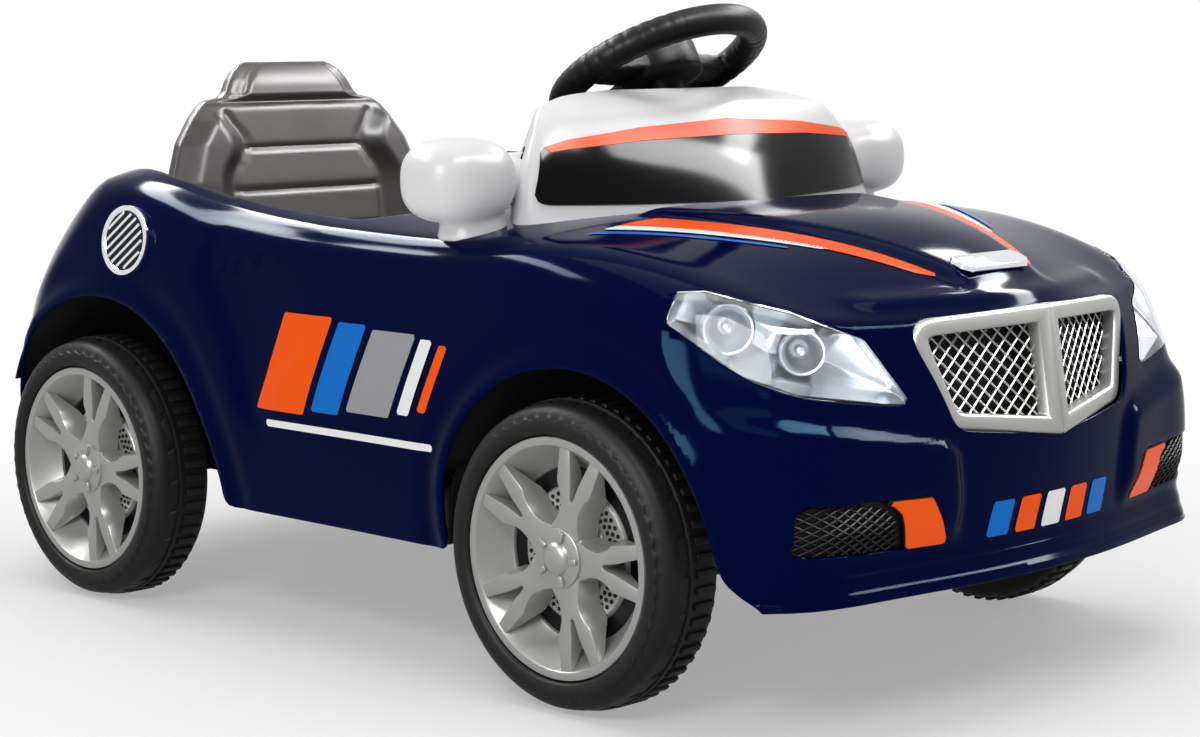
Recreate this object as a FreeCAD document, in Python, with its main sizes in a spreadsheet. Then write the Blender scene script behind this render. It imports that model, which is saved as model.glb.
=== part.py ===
"""Electric ride-on car for one small child: body, wheels, steering, drive and controls.

+X points to the front, +Y to the car's left and +Z up, and the ground is z = 0. Sizes are in millimetres.
"""
import FreeCAD, Part
import math
import os
import re
from types import SimpleNamespace

import Sketcher
from FreeCAD import Placement, Rotation, Vector

# Driving sizes: alias, value, what it is.
SIZES = (
    ("wheelbase", 600, "front axle to rear axle"),
    ("front_axle_x", 265, "front axle ahead of the middle of the car"),
    ("tyre_radius", 118, "tyre radius, and the height of the axles"),
    ("tyre_width", 60, "width of a tyre"),
    ("wheel_face_y", 295, "outer face of the tyres from the middle plane"),
    ("tyre_shoulder", 11, "rounding of a tyre's shoulders"),
    ("rim_radius", 92, "radius of the pocket that takes the trim"),
    ("rim_depth", 34, "depth of that pocket"),
    ("wheel_web", 6, "thickness of a wheel's web"),
    ("tyre_wall", 30, "radial thickness of the tyre behind the web"),
    ("hub_radius", 20, "radius of a wheel's hub"),
    ("hub_face", 26, "depth of the hub's outer end"),
    ("hub_overhang", 6, "length of the hub past the tyre's inner face"),
    ("axle_radius", 6, "radius of the axles"),
    ("running_fit", 0.06, "radial play of a part that turns on a shaft"),
    ("running_gap", 0.3, "play between faces that pass each other"),
    ("trim_lip", 8, "width of a trim's outer lip"),
    ("trim_back", 4, "thickness of a trim's back disc"),
    ("trim_wall", 3, "thickness of a trim's barrel"),
    ("trim_face", 3, "depth of a trim's lip behind the tyre's face"),
    ("trim_boss_radius", 26, "radius of a trim's hub boss"),
    ("trim_boss_bore", 15, "radius of the bore in the boss"),
    ("trim_boss_face", 9, "depth of the boss's face"),
    ("spoke_count", 5, "double spokes of a trim"),
    ("spoke_face", 7, "depth of the spokes' face"),
    ("spoke_thickness", 10, "thickness of the spokes"),
    ("spoke_root", 11, "half width of a spoke at the boss"),
    ("spoke_fork", 46, "radius where a spoke forks"),
    ("prong_angle", 17, "angle of a prong from its spoke's middle, degrees"),
    ("prong_half_angle", 5, "half the angle that a prong covers at the rim, degrees"),
    ("cap_flange_radius", 23, "radius of a hub cap's flange"),
    ("cap_flange", 3, "thickness of a hub cap's flange"),
    ("cap_dome_radius", 13, "radius of a hub cap's dome"),
    ("cap_dome", 5, "height of a hub cap's dome"),
    ("cap_plug", 4, "length of a hub cap's plug"),
    ("nut_radius", 11, "corner radius of the axle nuts"),
    ("nut_height", 8, "height of the axle nuts"),
    ("axle_tip", 3, "length of an axle's end past its nut"),
    ("kingpin_y", 200, "kingpin from the middle plane"),
    ("kingpin_radius", 5, "radius of a kingpin"),
    ("kingpin_head", 9, "radius of a kingpin's head"),
    ("kingpin_head_height", 5, "height of a kingpin's head"),
    ("knuckle_radius", 13, "radius of a knuckle's sleeve"),
    ("knuckle_height", 50, "height of a knuckle's sleeve"),
    ("knuckle_boss", 11, "radius of the boss for the stub axle"),
    ("knuckle_arm_width", 14, "width of a knuckle's arm"),
    ("knuckle_arm", 8, "thickness of a knuckle's arm"),
    ("tie_pin_radius", 4, "radius of the pins in the tie rod"),
    ("tie_pin_head", 8, "radius of the heads of those pins"),
    ("tie_pin_head_height", 4, "height of the heads of those pins"),
    ("tie_rod_z", 118, "underside of the tie rod"),
    ("tie_rod", 5, "thickness of the tie rod"),
    ("tie_rod_width", 20, "width of the tie rod"),
    ("tie_rod_end", 15, "length of the tie rod past its end pins"),
    ("tie_slot_play", 1, "play of an end pin across its slot"),
    ("tie_slot_run", 6, "travel of an end pin along its slot"),
    ("crank_slot_play", 2.2, "play of the crank pin across its slot"),
    ("crank_slot_run", 15, "travel of the crank pin along its slot"),
    ("crank_radius", 34, "column axis to crank pin"),
    ("crank_width", 16, "width of the crank"),
    ("crank", 7, "thickness of the crank"),
    ("crank_pin", 24, "length of the crank pin"),
    ("column_tilt", 28.8, "tilt of the steering column, degrees"),
    ("column_radius", 6, "radius of the steering column"),
    ("column_length", 446, "length of the steering column"),
    ("steering_x", 103, "centre of the steering wheel, forward"),
    ("steering_z", 474, "centre of the steering wheel, up"),
    ("ring_radius", 85.5, "centreline radius of the steering wheel"),
    ("ring_tube", 13, "radius of the steering wheel's rim"),
    ("wheel_hub_radius", 36, "radius of the steering wheel's hub"),
    ("wheel_hub_top", 12, "top of that hub above the wheel's plane"),
    ("wheel_hub_drop", 14, "bottom of that hub below the wheel's plane"),
    ("wheel_spoke_width", 36, "width of a steering wheel spoke"),
    ("wheel_spoke", 14, "thickness of a steering wheel spoke"),
    ("horn_radius", 26, "radius of the horn button"),
    ("horn_height", 8, "height of the horn button"),
    ("horn_travel", 2.5, "travel of the horn button"),
    ("bush_radius", 16, "radius of the column bush"),
    ("bush_length", 30, "length of the column bush"),
    ("body_wall", 3.5, "wall of the body shell"),
    ("nose_reach", 518, "nose ahead of the middle of the car"),
    ("tail_reach", 520, "tail behind the middle of the car"),
    ("end_overrun", 14, "length of the body sections past its ends"),
    ("sill_z", 103, "underside of the body"),
    ("wide_z", 195, "height of the widest line of the body"),
    ("sill_tuck", 15, "how far the sides draw in at the sill"),
    ("door_half_width", 285, "half width at the doors"),
    ("arch_half_width", 292, "half width at the wheel arches"),
    ("nose_half_width", 284, "half width at the nose"),
    ("tail_half_width", 272, "half width at the tail"),
    ("belt_z", 350, "top edge of the doors"),
    ("deck_z", 383, "edge of the rear deck over the axle"),
    ("rear_belt_z", 366, "top edge behind the doors"),
    ("fender_z", 350, "top edge of the front fenders"),
    ("lamp_z", 322, "top edge over the headlamps"),
    ("nose_edge_z", 256, "top edge at the nose"),
    ("tail_quarter_z", 352, "top edge at the rear quarters"),
    ("tail_edge_z", 284, "top edge at the tail"),
    ("crown", 12, "rise of the top from its edges to the middle"),
    ("hood_crown", 23, "rise of the hood at the headlamps"),
    ("side_lean", 11, "how far the sides lean in by the shoulder"),
    ("nose_sweep", 100, "sweep of the bumper from the middle to the corner"),
    ("tail_sweep", 90, "sweep of the tail from the middle to the corner"),
    ("plan_half_width", 304, "half width of the bumper outlines"),
    ("lip_height", 27, "height of the bumper lip"),
    ("lip_reach", 13, "how far the lip stands proud of the bumper"),
    ("front_arch_radius", 142, "radius of the front wheel arches"),
    ("front_arch_shift", 8, "front arch centres ahead of the axle"),
    ("rear_arch_radius", 157, "radius of the rear wheel arches"),
    ("rear_arch_shift", 25, "rear arch centres ahead of the axle"),
    ("arch_depth", 120, "depth of the wheel arches from the side"),
    ("front_liner", 24, "depth of the front arches' liners"),
    ("rear_liner", 60, "depth of the rear arches' liners"),
    ("cockpit_half_width", 237, "half width of the cockpit opening"),
    ("cockpit_front_x", 190, "front edge of the cockpit opening"),
    ("cockpit_rear_x", -406, "rear edge of the cockpit opening"),
    ("cockpit_rear_half", 165, "half width of its rear edge"),
    ("cockpit_front_half", 110, "half width of its front edge"),
    ("cockpit_knee_half", 160, "half width of the opening at the dashboard"),
    ("cockpit_corner", 24, "rounding of its corners"),
    ("headlamp_rear", 60, "rear tip of a headlamp along its own line"),
    ("headlamp_length", 178, "length of a headlamp along its own line"),
    ("headlamp_z", 239, "lowest point of a headlamp"),
    ("headlamp_height", 87, "height of a headlamp"),
    ("headlamp_round", 7, "rounding of a headlamp's corners"),
    ("headlamp_floor", 388, "depth of a headlamp's bowl along its own axis"),
    ("headlamp_reach", 540, "outer end of a headlamp's cut along its axis"),
    ("bowl_wall", 2.5, "wall of a headlamp's bowl"),
    ("barrel_radius", 17, "radius of a lamp barrel in the bowl"),
    ("barrel_length", 20, "length of a lamp barrel"),
    ("fog_outer_y", 254, "outer end of a fog grille"),
    ("fog_split_y", 163, "line between a fog grille and its accent"),
    ("fog_inner_y", 121, "inner end of a fog accent"),
    ("fog_z", 135, "underside of the fog grilles"),
    ("fog_height", 41, "height of the fog grilles"),
    ("fog_slant", 20, "slant of a fog accent's inner end"),
    ("fog_round", 6, "rounding of the fog grilles"),
    ("tail_lamp_y", 150, "inner end of a tail lamp"),
    ("tail_lamp_width", 76, "width of a tail lamp"),
    ("tail_lamp_z", 228, "underside of a tail lamp"),
    ("tail_lamp_height", 44, "height of a tail lamp"),
    ("grille_top_x", 501, "front of the grille at its top"),
    ("grille_bottom_x", 516, "front of the grille at its bottom"),
    ("grille_sweep", 28, "sweep of the grille from its middle to its top corner"),
    ("grille_top_z", 301, "top of the grille"),
    ("grille_bottom_z", 204, "bottom of the grille"),
    ("grille_top_half", 142, "half width of the grille's top"),
    ("grille_bottom_half", 110, "half width of the grille's bottom"),
    ("grille_corner_rise", 13, "rise of the grille's lower corners"),
    ("grille_depth", 14, "depth of the grille frame"),
    ("grille_band", 13, "width of the grille frame"),
    ("grille_round", 6, "rounding of the grille's corners"),
    ("mesh_thickness", 2, "thickness of the grille mesh"),
    ("mesh_pitch_y", 13, "pitch of the mesh across"),
    ("mesh_pitch_z", 10, "pitch of the mesh up"),
    ("mesh_rib", 2.6, "width of the mesh ribs"),
    ("badge_x", 446, "middle of the hood badge"),
    ("badge_length", 26, "length of the hood badge"),
    ("badge_width", 88, "width of the hood badge"),
    ("badge_height", 5, "height of the hood badge above the hood"),
    ("badge_tilt", 22, "tilt of the hood badge, degrees"),
    ("filler_x", -271, "middle of the filler cap, forward"),
    ("filler_z", 326, "middle of the filler cap, up"),
    ("filler_radius", 31, "radius of the filler cap"),
    ("filler_height", 5, "height of the filler cap above the body"),
    ("cowl_front_x", 216, "front of the cowl at its base"),
    ("cowl_top_z", 458, "crest of the cowl"),
    ("cowl_base_z", 338, "base of the cowl"),
    ("cowl_half_width", 212, "half width of the cowl over its base"),
    ("cowl_rake", 48, "how far the cowl's front leans back"),
    ("cowl_flare", 22, "flare of the cowl's foot"),
    ("cowl_bow", 52, "bow of the cowl's front"),
    ("cowl_taper", 30, "how far the cowl's sides draw in"),
    ("cowl_crest_x", 126, "crest of the cowl, forward"),
    ("cowl_slope", 20, "slope of the cowl's top behind its crest, degrees"),
    ("cowl_wall", 3, "wall of the cowl"),
    ("dash_x", 84, "rear face of the dashboard"),
    ("dash_panel", 4, "thickness of the dashboard panel"),
    ("screen_panel", 2, "thickness of the windscreen panel"),
    ("screen_bottom_z", 363, "lower edge of the windscreen panel"),
    ("screen_top_z", 431, "upper edge of the windscreen panel"),
    ("screen_bottom_half", 200, "half width of its lower edge"),
    ("screen_top_half", 176, "half width of its upper edge"),
    ("screen_corner_drop", 11, "drop of its upper corners"),
    ("screen_round", 8, "rounding of its corners"),
    ("mirror_x", 120, "middle of a mirror pod, forward"),
    ("mirror_y", 249, "middle of a mirror pod, sideways"),
    ("mirror_z", 391, "middle of a mirror pod, up"),
    ("mirror_half_length", 40, "half length of a mirror pod"),
    ("mirror_half_width", 44, "half width of a mirror pod"),
    ("mirror_half_height", 34, "half height of a mirror pod"),
    ("mirror_cut", 30, "flat back of a pod behind its middle"),
    ("mirror_neck", 22, "radius of a mirror's neck"),
    ("mirror_foot", 20, "radius of a mirror's foot"),
    ("mirror_foot_inset", 16, "foot of a mirror from the pod's middle towards the cowl"),
    ("mirror_plate", 1.5, "thickness of a mirror plate"),
    ("mirror_plate_rim", 7, "rim of the pod round its plate"),
    ("seat_half_width", 150, "half width of the seat"),
    ("seat_front_x", -62, "front edge of the seat"),
    ("seat_back_x", -338, "front of the backrest at the pan"),
    ("seat_top_z", 228, "top of the seat pan"),
    ("seat_pan", 22, "thickness of the seat pan"),
    ("seat_skirt", 8, "thickness of the seat's skirts"),
    ("seat_skirt_length", 120, "length of the seat's side skirts"),
    ("seat_bolster", 26, "height of the seat's side bolsters"),
    ("seat_bolster_width", 34, "width of the seat's side bolsters"),
    ("back_lean", 22, "lean of the backrest over its height"),
    ("back_thickness", 34, "thickness of the backrest"),
    ("back_waist_z", 366, "height of the backrest's widest line"),
    ("back_waist_half", 158, "half width of the backrest at that line"),
    ("back_shoulder_z", 441, "height of the backrest's shoulders"),
    ("back_shoulder_half", 112, "half width at the shoulders"),
    ("headrest_half", 88, "half width of the headrest"),
    ("headrest_top_half", 60, "half width of the headrest's top"),
    ("headrest_top_z", 479, "top of the headrest"),
    ("floor_thickness", 4, "thickness of the chassis floor"),
    ("floor_half_width", 150, "half width of the floor between the wheels"),
    ("floor_front_x", 96, "front end of the wide floor"),
    ("floor_rear_x", -148, "rear end of the wide floor"),
    ("tray_rear_x", -488, "rear end of the chassis tray"),
    ("tray_front_x", 474, "front end of the chassis tray"),
    ("beam_depth", 26, "depth of the front beam's web"),
    ("beam_overlap", 14, "reach of the beam's ears past a kingpin"),
    ("beam_web_half", 176, "half width of the front beam's web"),
    ("ear", 8, "thickness of the beam's ears"),
    ("ear_depth", 44, "depth of the beam's ears"),
    ("column_boss_radius", 14, "radius of the column's lower bearing"),
    ("column_boss_length", 34, "length of that bearing"),
    ("column_boss_drop", 352, "start of that bearing below the steering wheel"),
    ("block_half_length", 17, "half length of a rear axle block"),
    ("block_inner_y", 132, "inner face of a rear axle block"),
    ("block_outer_y", 186, "outer face of a rear axle block"),
    ("block_top", 20, "height of an axle block above the axle"),
    ("spacer_radius", 11, "radius of the axle spacers"),
    ("gear_module", 2, "module of the drive gear"),
    ("drive_teeth", 45, "teeth of the drive gear"),
    ("small_teeth", 15, "teeth of the reduction gear's small wheel"),
    ("fine_module", 1.5, "module of the motor's gears"),
    ("large_teeth", 36, "teeth of the reduction gear's large wheel"),
    ("pinion_teeth", 12, "teeth of the motor pinion"),
    ("gear_backlash", 0.35, "tooth thickness taken off for backlash"),
    ("gear_width", 10, "width of the drive gear"),
    ("fine_width", 8, "width of the motor's gears"),
    ("gear_space", 2, "space between the gear planes and to the walls"),
    ("reduction_angle", 24, "direction from the axle to the reduction gear, degrees"),
    ("motor_angle", 60, "direction from the reduction gear to the motor, degrees"),
    ("gear_pin", 4, "radius of the reduction gear's pin"),
    ("case_wall", 4, "wall of the gearbox case"),
    ("case_margin", 6, "room round the gears in the case"),
    ("drive_sleeve", 16, "radius of the drive gear's sleeve"),
    ("motor_radius", 18, "radius of the motor"),
    ("motor_length", 57, "length of the motor"),
    ("motor_shaft", 2.5, "radius of the motor's shaft"),
    ("motor_bore", 18, "depth of the shaft in the motor"),
    ("battery_length", 151, "length of the battery"),
    ("battery_width", 65, "width of the battery"),
    ("battery_height", 92, "height of the battery"),
    ("battery_rear_x", -252, "rear end of the battery"),
    ("strap_width", 26, "width of the battery strap"),
    ("strap", 2, "thickness of the battery strap"),
    ("strap_foot", 20, "length of the strap's feet"),
    ("control_length", 62, "length of the control box"),
    ("control_width", 110, "width of the control box"),
    ("control_height", 32, "height of the control box"),
    ("control_rear_x", -474, "rear end of the control box"),
    ("loom_radius", 2.2, "radius of the wiring loom"),
    ("loom_bend", 22, "bend radius of the wiring loom"),
    ("pedal_x", 66, "pedal pivot, forward"),
    ("pedal_y", -78, "middle of the pedal, sideways"),
    ("pedal_pivot", 15, "height of the pedal's pivot above the floor"),
    ("pedal_length", 92, "length of the pedal"),
    ("pedal_width", 62, "width of the pedal"),
    ("pedal_plate", 7, "thickness of the pedal"),
    ("pedal_angle", 36, "angle of the pedal at rest, degrees"),
    ("pedal_sleeve", 8, "radius of the pedal's sleeve"),
    ("pedal_pin", 4, "radius of the pedal's pin"),
    ("pedal_lug", 6, "thickness of the pedal's lugs"),
    ("lever_y", -112, "middle of the direction lever"),
    ("control_z", 392, "height of the controls on the dashboard"),
    ("lever_disc", 14, "radius of the direction lever's disc"),
    ("lever_width", 8, "width of the direction lever"),
    ("lever_pin", 3, "radius of the direction lever's pin"),
    ("lever_length", 34, "reach of the direction lever"),
    ("lever_knob", 7, "radius of the direction lever's knob"),
    ("lever_slot", 19, "half height of the lever's slot"),
    ("button_y", 112, "middle of the power button"),
    ("button_radius", 10, "radius of the power button"),
    ("button_height", 9, "height of the power button"),
    ("button_travel", 3, "travel of the power button"),
    ("socket_y", 62, "middle of the charging socket"),
    ("socket_radius", 9, "radius of the charging socket"),
    ("socket_length", 18, "length of the charging socket"),
    ("socket_bore", 2.8, "radius of the charging socket's bore"),
    ("socket_depth", 12, "depth of the charging socket's bore"),
    ("screw_radius", 5, "radius of the screw heads"),
    ("screw_height", 3, "height of the screw heads"),
    ("screw_inset", 14, "screws from the edge of the floor"),
    ("screw_shank", 2, "radius of the screws' shanks"),
    ("screw_length", 14, "length of the screws' shanks"),
    ("lug_width", 24, "width of the body's screw lugs"),
    ("lug_height", 14, "height of the body's screw lugs"),
)

os.makedirs("parts", exist_ok=True)
doc = FreeCAD.newDocument("RideOnCar")
sheet = doc.addObject("Spreadsheet::Sheet", "Sizes")
for row, (alias, value, meaning) in enumerate(SIZES, start=1):
    sheet.set("A%d" % row, meaning)
    sheet.set("B%d" % row, str(value))
    sheet.setAlias("B%d" % row, alias)
doc.recompute()

S = SimpleNamespace(**{alias: float(sheet.get(alias)) for alias, _, _ in SIZES})
ALIASES = set(vars(S))
NODES = {}
MIDDLE = Vector(0, 0, 0)
ACROSS = Vector(0, 1, 0)
TURNS = {
    "x": Rotation(Vector(0, 1, 0), 90),
    "y": Rotation(Vector(1, 0, 0), -90),
    "z": Rotation(),
}


# Sheet formulas and document objects.

def formula(text):
    """The text with each alias in it written as a cell of the sheet."""
    return re.sub(r"[a-z_]+", lambda word: "Sizes." * (word.group() in ALIASES) + word.group(), text)


def value(text):
    """The number that a formula gives now."""
    return sheet.evalExpression(formula(text))


def tie(thing, **formulas):
    """Bind properties to the sheet; a double underscore stands for a dot."""
    for path, text in formulas.items():
        thing.setExpression(path.replace("__", "."), formula(text))


def put(thing, start, turn=None):
    """Place an object at three formulas, turned by a fixed rotation."""
    thing.Placement = Placement(Vector(), turn or Rotation())
    tie(thing, Placement__Base__x=start[0], Placement__Base__y=start[1], Placement__Base__z=start[2])
    return thing


def box(name, start, lengths):
    """A box from its low corner; every value is a formula."""
    solid = doc.addObject("Part::Box", name)
    tie(solid, Length=lengths[0], Width=lengths[1], Height=lengths[2])
    return put(solid, start)


def cylinder(name, radius, length, start, axis="z"):
    """A cylinder from the middle of its low end along an axis."""
    solid = doc.addObject("Part::Cylinder", name)
    tie(solid, Radius=radius, Height=length)
    return put(solid, start, TURNS[axis])


def hexagon(name, radius, length, start, axis):
    """A hexagonal prism from the middle of its low end along an axis."""
    solid = doc.addObject("Part::Prism", name)
    solid.Polygon = 6
    tie(solid, Circumradius=radius, Height=length)
    return put(solid, start, TURNS[axis])


def fuse(name, *pieces):
    joined = doc.addObject("Part::MultiFuse", name)
    joined.Shapes = list(pieces)
    joined.Refine = True
    return joined


def cut(name, base, *tools):
    result = doc.addObject("Part::Cut", name)
    result.Base = base
    result.Tool = tools[0] if len(tools) == 1 else fuse(name + "_tools", *tools)
    return result


def mirrored(name, source):
    """The same piece on the other side of the car."""
    copy = doc.addObject("Part::Mirroring", name)
    copy.Source = source
    copy.Normal = ACROSS
    copy.Base = MIDDLE
    return copy


def group(name, *pieces):
    """Separate solids that share one node."""
    together = doc.addObject("Part::Compound", name)
    together.Links = list(pieces)
    return together


def node(label, thing):
    """Name a finished sub-part."""
    thing.Label = label
    NODES[label] = thing
    return thing


def solid_node(label, shape):
    """A sub-part whose shape is worked out from the sheet's values."""
    thing = doc.addObject("Part::Feature", label)
    thing.Shape = shape
    thing.Placement = Placement()
    return node(label, thing)


def origin_plane(body, role):
    return next(plane for plane in body.Origin.OriginFeatures if plane.Role == role)


def polygon_sketch(body, name, role, corners):
    """A closed outline on an origin plane whose corners are pairs of formulas."""
    sketch = body.newObject("Sketcher::SketchObject", name)
    sketch.AttachmentSupport = (origin_plane(body, role), [""])
    sketch.MapMode = "FlatFace"
    points = [Vector(value(across), value(up), 0) for across, up in corners]
    for start, end in zip(points, points[1:] + points[:1]):
        sketch.addGeometry(Part.LineSegment(start, end))
    for index, ((across, up), point) in enumerate(zip(corners, points)):
        sketch.addConstraint(Sketcher.Constraint("Coincident", index, 2, (index + 1) % len(points), 1))
        for kind, text, place in (("DistanceX", across, point.x), ("DistanceY", up, point.y)):
            number = sketch.addConstraint(Sketcher.Constraint(kind, index, 1, place))
            sketch.setExpression("Constraints[%d]" % number, formula(text))
    return sketch


def revolved_body(name, corners):
    """A body of revolution about its own Y axis from an outline of (radius, depth) formulas."""
    body = doc.addObject("PartDesign::Body", name)
    profile = polygon_sketch(body, name + "_profile", "XY_Plane", corners)
    turned = body.newObject("PartDesign::Revolution", name + "_turned")
    turned.Profile = profile
    turned.ReferenceAxis = (profile, ["V_Axis"])
    turned.Angle = 360
    doc.recompute()
    return body


# Shapes worked out in code.

def outline(corners, radius, at):
    """A closed wire through rounded corners; at(u, v) gives the place of a flat point."""
    flat = [Vector(u, v, 0) for u, v in corners]
    bends = []
    for index, corner in enumerate(flat):
        back = (flat[index - 1] - corner).normalize()
        ahead = (flat[(index + 1) % len(flat)] - corner).normalize()
        half = back.getAngle(ahead) / 2
        run = radius / math.tan(half)
        inward = (back + ahead).normalize() * (radius / math.sin(half) - radius)
        bends.append((corner + back * run, corner + inward, corner + ahead * run))
    edges = []
    for bend, following in zip(bends, bends[1:] + bends[:1]):
        start, middle, end = (at(point.x, point.y) for point in bend)
        edges.append(Part.Arc(start, middle, end).toShape())
        edges.append(Part.LineSegment(end, at(following[0].x, following[0].y)).toShape())
    return Part.Wire(edges)


def prism(wire, direction, grow=0.0):
    """A solid along a direction from a flat wire, grown or shrunk in its plane."""
    shaped = wire.makeOffset2D(grow) if grow else wire
    return Part.Face(shaped).extrude(direction)


def both_sides(shape):
    """A shape of the right side with its mirror image on the left."""
    return Part.makeCompound([shape, shape.mirror(MIDDLE, ACROSS)])


def spline_edge(points, closed=False):
    curve = Part.BSplineCurve()
    curve.interpolate(Points=points, PeriodicFlag=closed)
    return curve.toShape()


REAR_AXLE_X = S.front_axle_x - S.wheelbase


def body_stations():
    """Cross-sections from tail to nose: x, half width, edge height, edge inset, shoulder drop, crown."""
    door = S.door_half_width
    arch = S.arch_half_width
    rear_door_x = REAR_AXLE_X + S.rear_arch_radius
    front_door_x = S.front_axle_x - S.front_arch_radius
    return (
        (-S.tail_reach - S.end_overrun, S.tail_half_width, S.tail_edge_z, 66, 46, 1.3 * S.crown),
        ((REAR_AXLE_X - S.tail_reach) / 2, arch - 5, S.tail_quarter_z, 68, 54, 1.3 * S.crown),
        (REAR_AXLE_X, arch, S.deck_z, 64, 58, S.crown),
        (rear_door_x, door + 2, S.rear_belt_z, 47, 44, S.crown),
        ((rear_door_x + front_door_x) / 2, door, S.belt_z + 3, 42, 35, S.crown),
        (front_door_x, door + 2, S.belt_z, 43, 33, S.crown),
        (S.front_axle_x, arch, S.fender_z, 60, 36, S.crown),
        ((S.front_axle_x + S.nose_reach) / 2, arch - 3, S.lamp_z, 76, 36, S.hood_crown),
        (S.nose_reach + S.end_overrun, S.nose_half_width, S.nose_edge_z, 92, 34, S.hood_crown),
    )


def section_wire(station, inset, dip):
    """One cross-section of the body, drawn in by inset; dip lowers its open underside."""
    x, half_width, edge_z, edge_inset, drop, crown = station
    widest = half_width - inset
    edge_y = half_width - edge_inset
    edge_z = edge_z - inset
    shoulder_y = widest - S.side_lean
    shoulder_z = edge_z - drop
    eighth = math.sqrt(0.5)
    half = (
        (widest - S.sill_tuck, S.sill_z),
        (widest, S.wide_z),
        (widest - S.side_lean / 4, (S.wide_z + shoulder_z) / 2),
        (shoulder_y, shoulder_z),
        (edge_y + eighth * (shoulder_y - edge_y), shoulder_z + eighth * drop),
        (edge_y, edge_z),
    )
    right = [Vector(x, -y, z) for y, z in half]
    left = [Vector(x, y, z) for y, z in reversed(half)]
    over = spline_edge(right + [Vector(x, 0, edge_z + crown)] + left)
    low_right = right[0] - Vector(0, 0, dip)
    low_left = left[-1] - Vector(0, 0, dip)
    corners = [left[-1], low_left, low_right, right[0]] if dip else [left[-1], right[0]]
    lines = [Part.LineSegment(a, b).toShape() for a, b in zip(corners, corners[1:])]
    return Part.Wire([over] + lines)


def plan_wire(z, nose_x, tail_x, sweep, tail_sweep):
    """One level outline of the bumpers; the sweeps scale how far the corners draw back."""
    wide = S.plan_half_width
    nose = ((0, 0), (0.33, 0.08), (0.63, 0.24), (0.86, 0.52), (0.99, 1))
    tail = ((0, 0), (0.33, 0.06), (0.63, 0.2), (0.86, 0.5), (0.99, 1))
    front = [(nose_x - sweep * S.nose_sweep * back, wide * side) for side, back in nose]
    rear = [(tail_x + tail_sweep * S.tail_sweep * back, wide * side) for side, back in reversed(tail)]
    left = front + [((nose_x + tail_x) / 2, wide + S.end_overrun)] + rear
    right = [(x, -y) for x, y in reversed(left[1:-1])]
    return Part.Wire([spline_edge([Vector(x, y, z) for x, y in left + right], closed=True)])


def body_solid(inset, dip=0.0):
    """The body's outer form, drawn in by inset, with its underside lowered by dip."""
    sections = Part.makeLoft([section_wire(station, inset, dip) for station in body_stations()], True)
    lip = S.lip_reach
    bumpers = (
        (S.sill_z - dip - S.end_overrun, -lip, 12, 0.9, 1.0),
        (150, -lip, 2, 1.0, 1.0),
        (210, -9, 4, 1.2, 1.1),
        (285, -20, 22, 1.7, 1.45),
        (330, -45, 48, 1.9, 1.75),
        (372, -95, 90, 1.9, 1.9),
        (430, -190, 165, 1.9, 1.9),
    )
    lip_levels = (
        (S.sill_z - dip, 0, 20, 0.6, 1.0),
        (S.sill_z + 0.4 * S.lip_height, -1, 20, 0.6, 1.0),
        (S.sill_z + S.lip_height, -lip - 2, 20, 0.8, 1.0),
    )
    ends = [plan_loft(bumpers, inset, False), plan_loft(lip_levels, inset, True)]
    return sections.common(ends[0].fuse(ends[1]))


def plan_loft(levels, inset, ruled):
    """A solid through level outlines: height, nose and tail offsets, and the corners' sweeps."""
    wires = [plan_wire(z, S.nose_reach - inset + nose, tail + inset - S.tail_reach, sweep, tail_sweep)
             for z, nose, tail, sweep, tail_sweep in levels]
    return Part.makeLoft(wires, True, ruled)


OUTER = body_solid(0.0)
INNER = body_solid(S.body_wall, dip=40.0)
SKIN = OUTER.cut(INNER)
MID_WALL = body_solid(S.body_wall / 2)


def front_plane(u, v):
    """A flat point across and up, seen from the front, behind the bumper."""
    return Vector(S.front_axle_x + S.front_arch_radius, u, v)


def rear_plane(u, v):
    return Vector(-S.tail_reach - S.end_overrun, u, v)


def lamp_plane(depth):
    """Places on the plane that faces the right front corner; u runs along the lamp."""
    slant = math.sqrt(0.5)
    return lambda u, v: Vector(slant * (u + depth), slant * (u - depth), v)


LAMP_AXIS = Vector(1, -1, 0).normalize()


def headlamp_prism(depth, grow=0.0):
    """The right headlamp's outline swept outwards from a depth along its axis."""
    shape = ((0, 0.7), (0.07, 1), (0.5, 0.79), (0.8, 0.55), (1, 0), (0.88, 0.02), (0.52, 0.13), (0.3, 0.28))
    corners = [headlamp_spot(along, up) for along, up in shape]
    wire = outline(corners, S.headlamp_round / 2, lamp_plane(depth))
    return prism(wire, LAMP_AXIS * (S.headlamp_reach - depth), grow)


def headlamp_spot(along, up):
    """A flat point on the lamp's plane from shares of the headlamp's length and height."""
    return S.headlamp_rear + S.headlamp_length * along, S.headlamp_z + S.headlamp_height * up


def fog_prism(outer, inner, slant):
    """A right fog opening between two distances from the middle plane."""
    top = S.fog_z + S.fog_height
    corners = ((-outer, S.fog_z + 4), (-outer, top), (-inner - slant, top - 4), (-inner, S.fog_z))
    wire = outline(corners, S.fog_round, front_plane)
    return prism(wire, Vector(S.nose_reach, 0, 0))


def tail_lamp_prism():
    low, top = S.tail_lamp_z, S.tail_lamp_z + S.tail_lamp_height
    inner = S.tail_lamp_y
    outer = inner + S.tail_lamp_width
    corners = ((-outer, low), (-outer, top - 8), (-inner, top), (-inner, low + 8))
    wire = outline(corners, S.fog_round, rear_plane)
    return prism(wire, Vector(S.tail_reach + REAR_AXLE_X, 0, 0))


def grille_plane(depth):
    """Places on the right half of the grille's front, set back by a depth."""
    rise = (S.grille_bottom_x - S.grille_top_x) / (S.grille_top_z - S.grille_bottom_z)
    sweep = S.grille_sweep / S.grille_top_half
    return lambda u, v: Vector(S.grille_top_x - depth + u * sweep + (S.grille_top_z - v) * rise, u, v)


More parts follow.
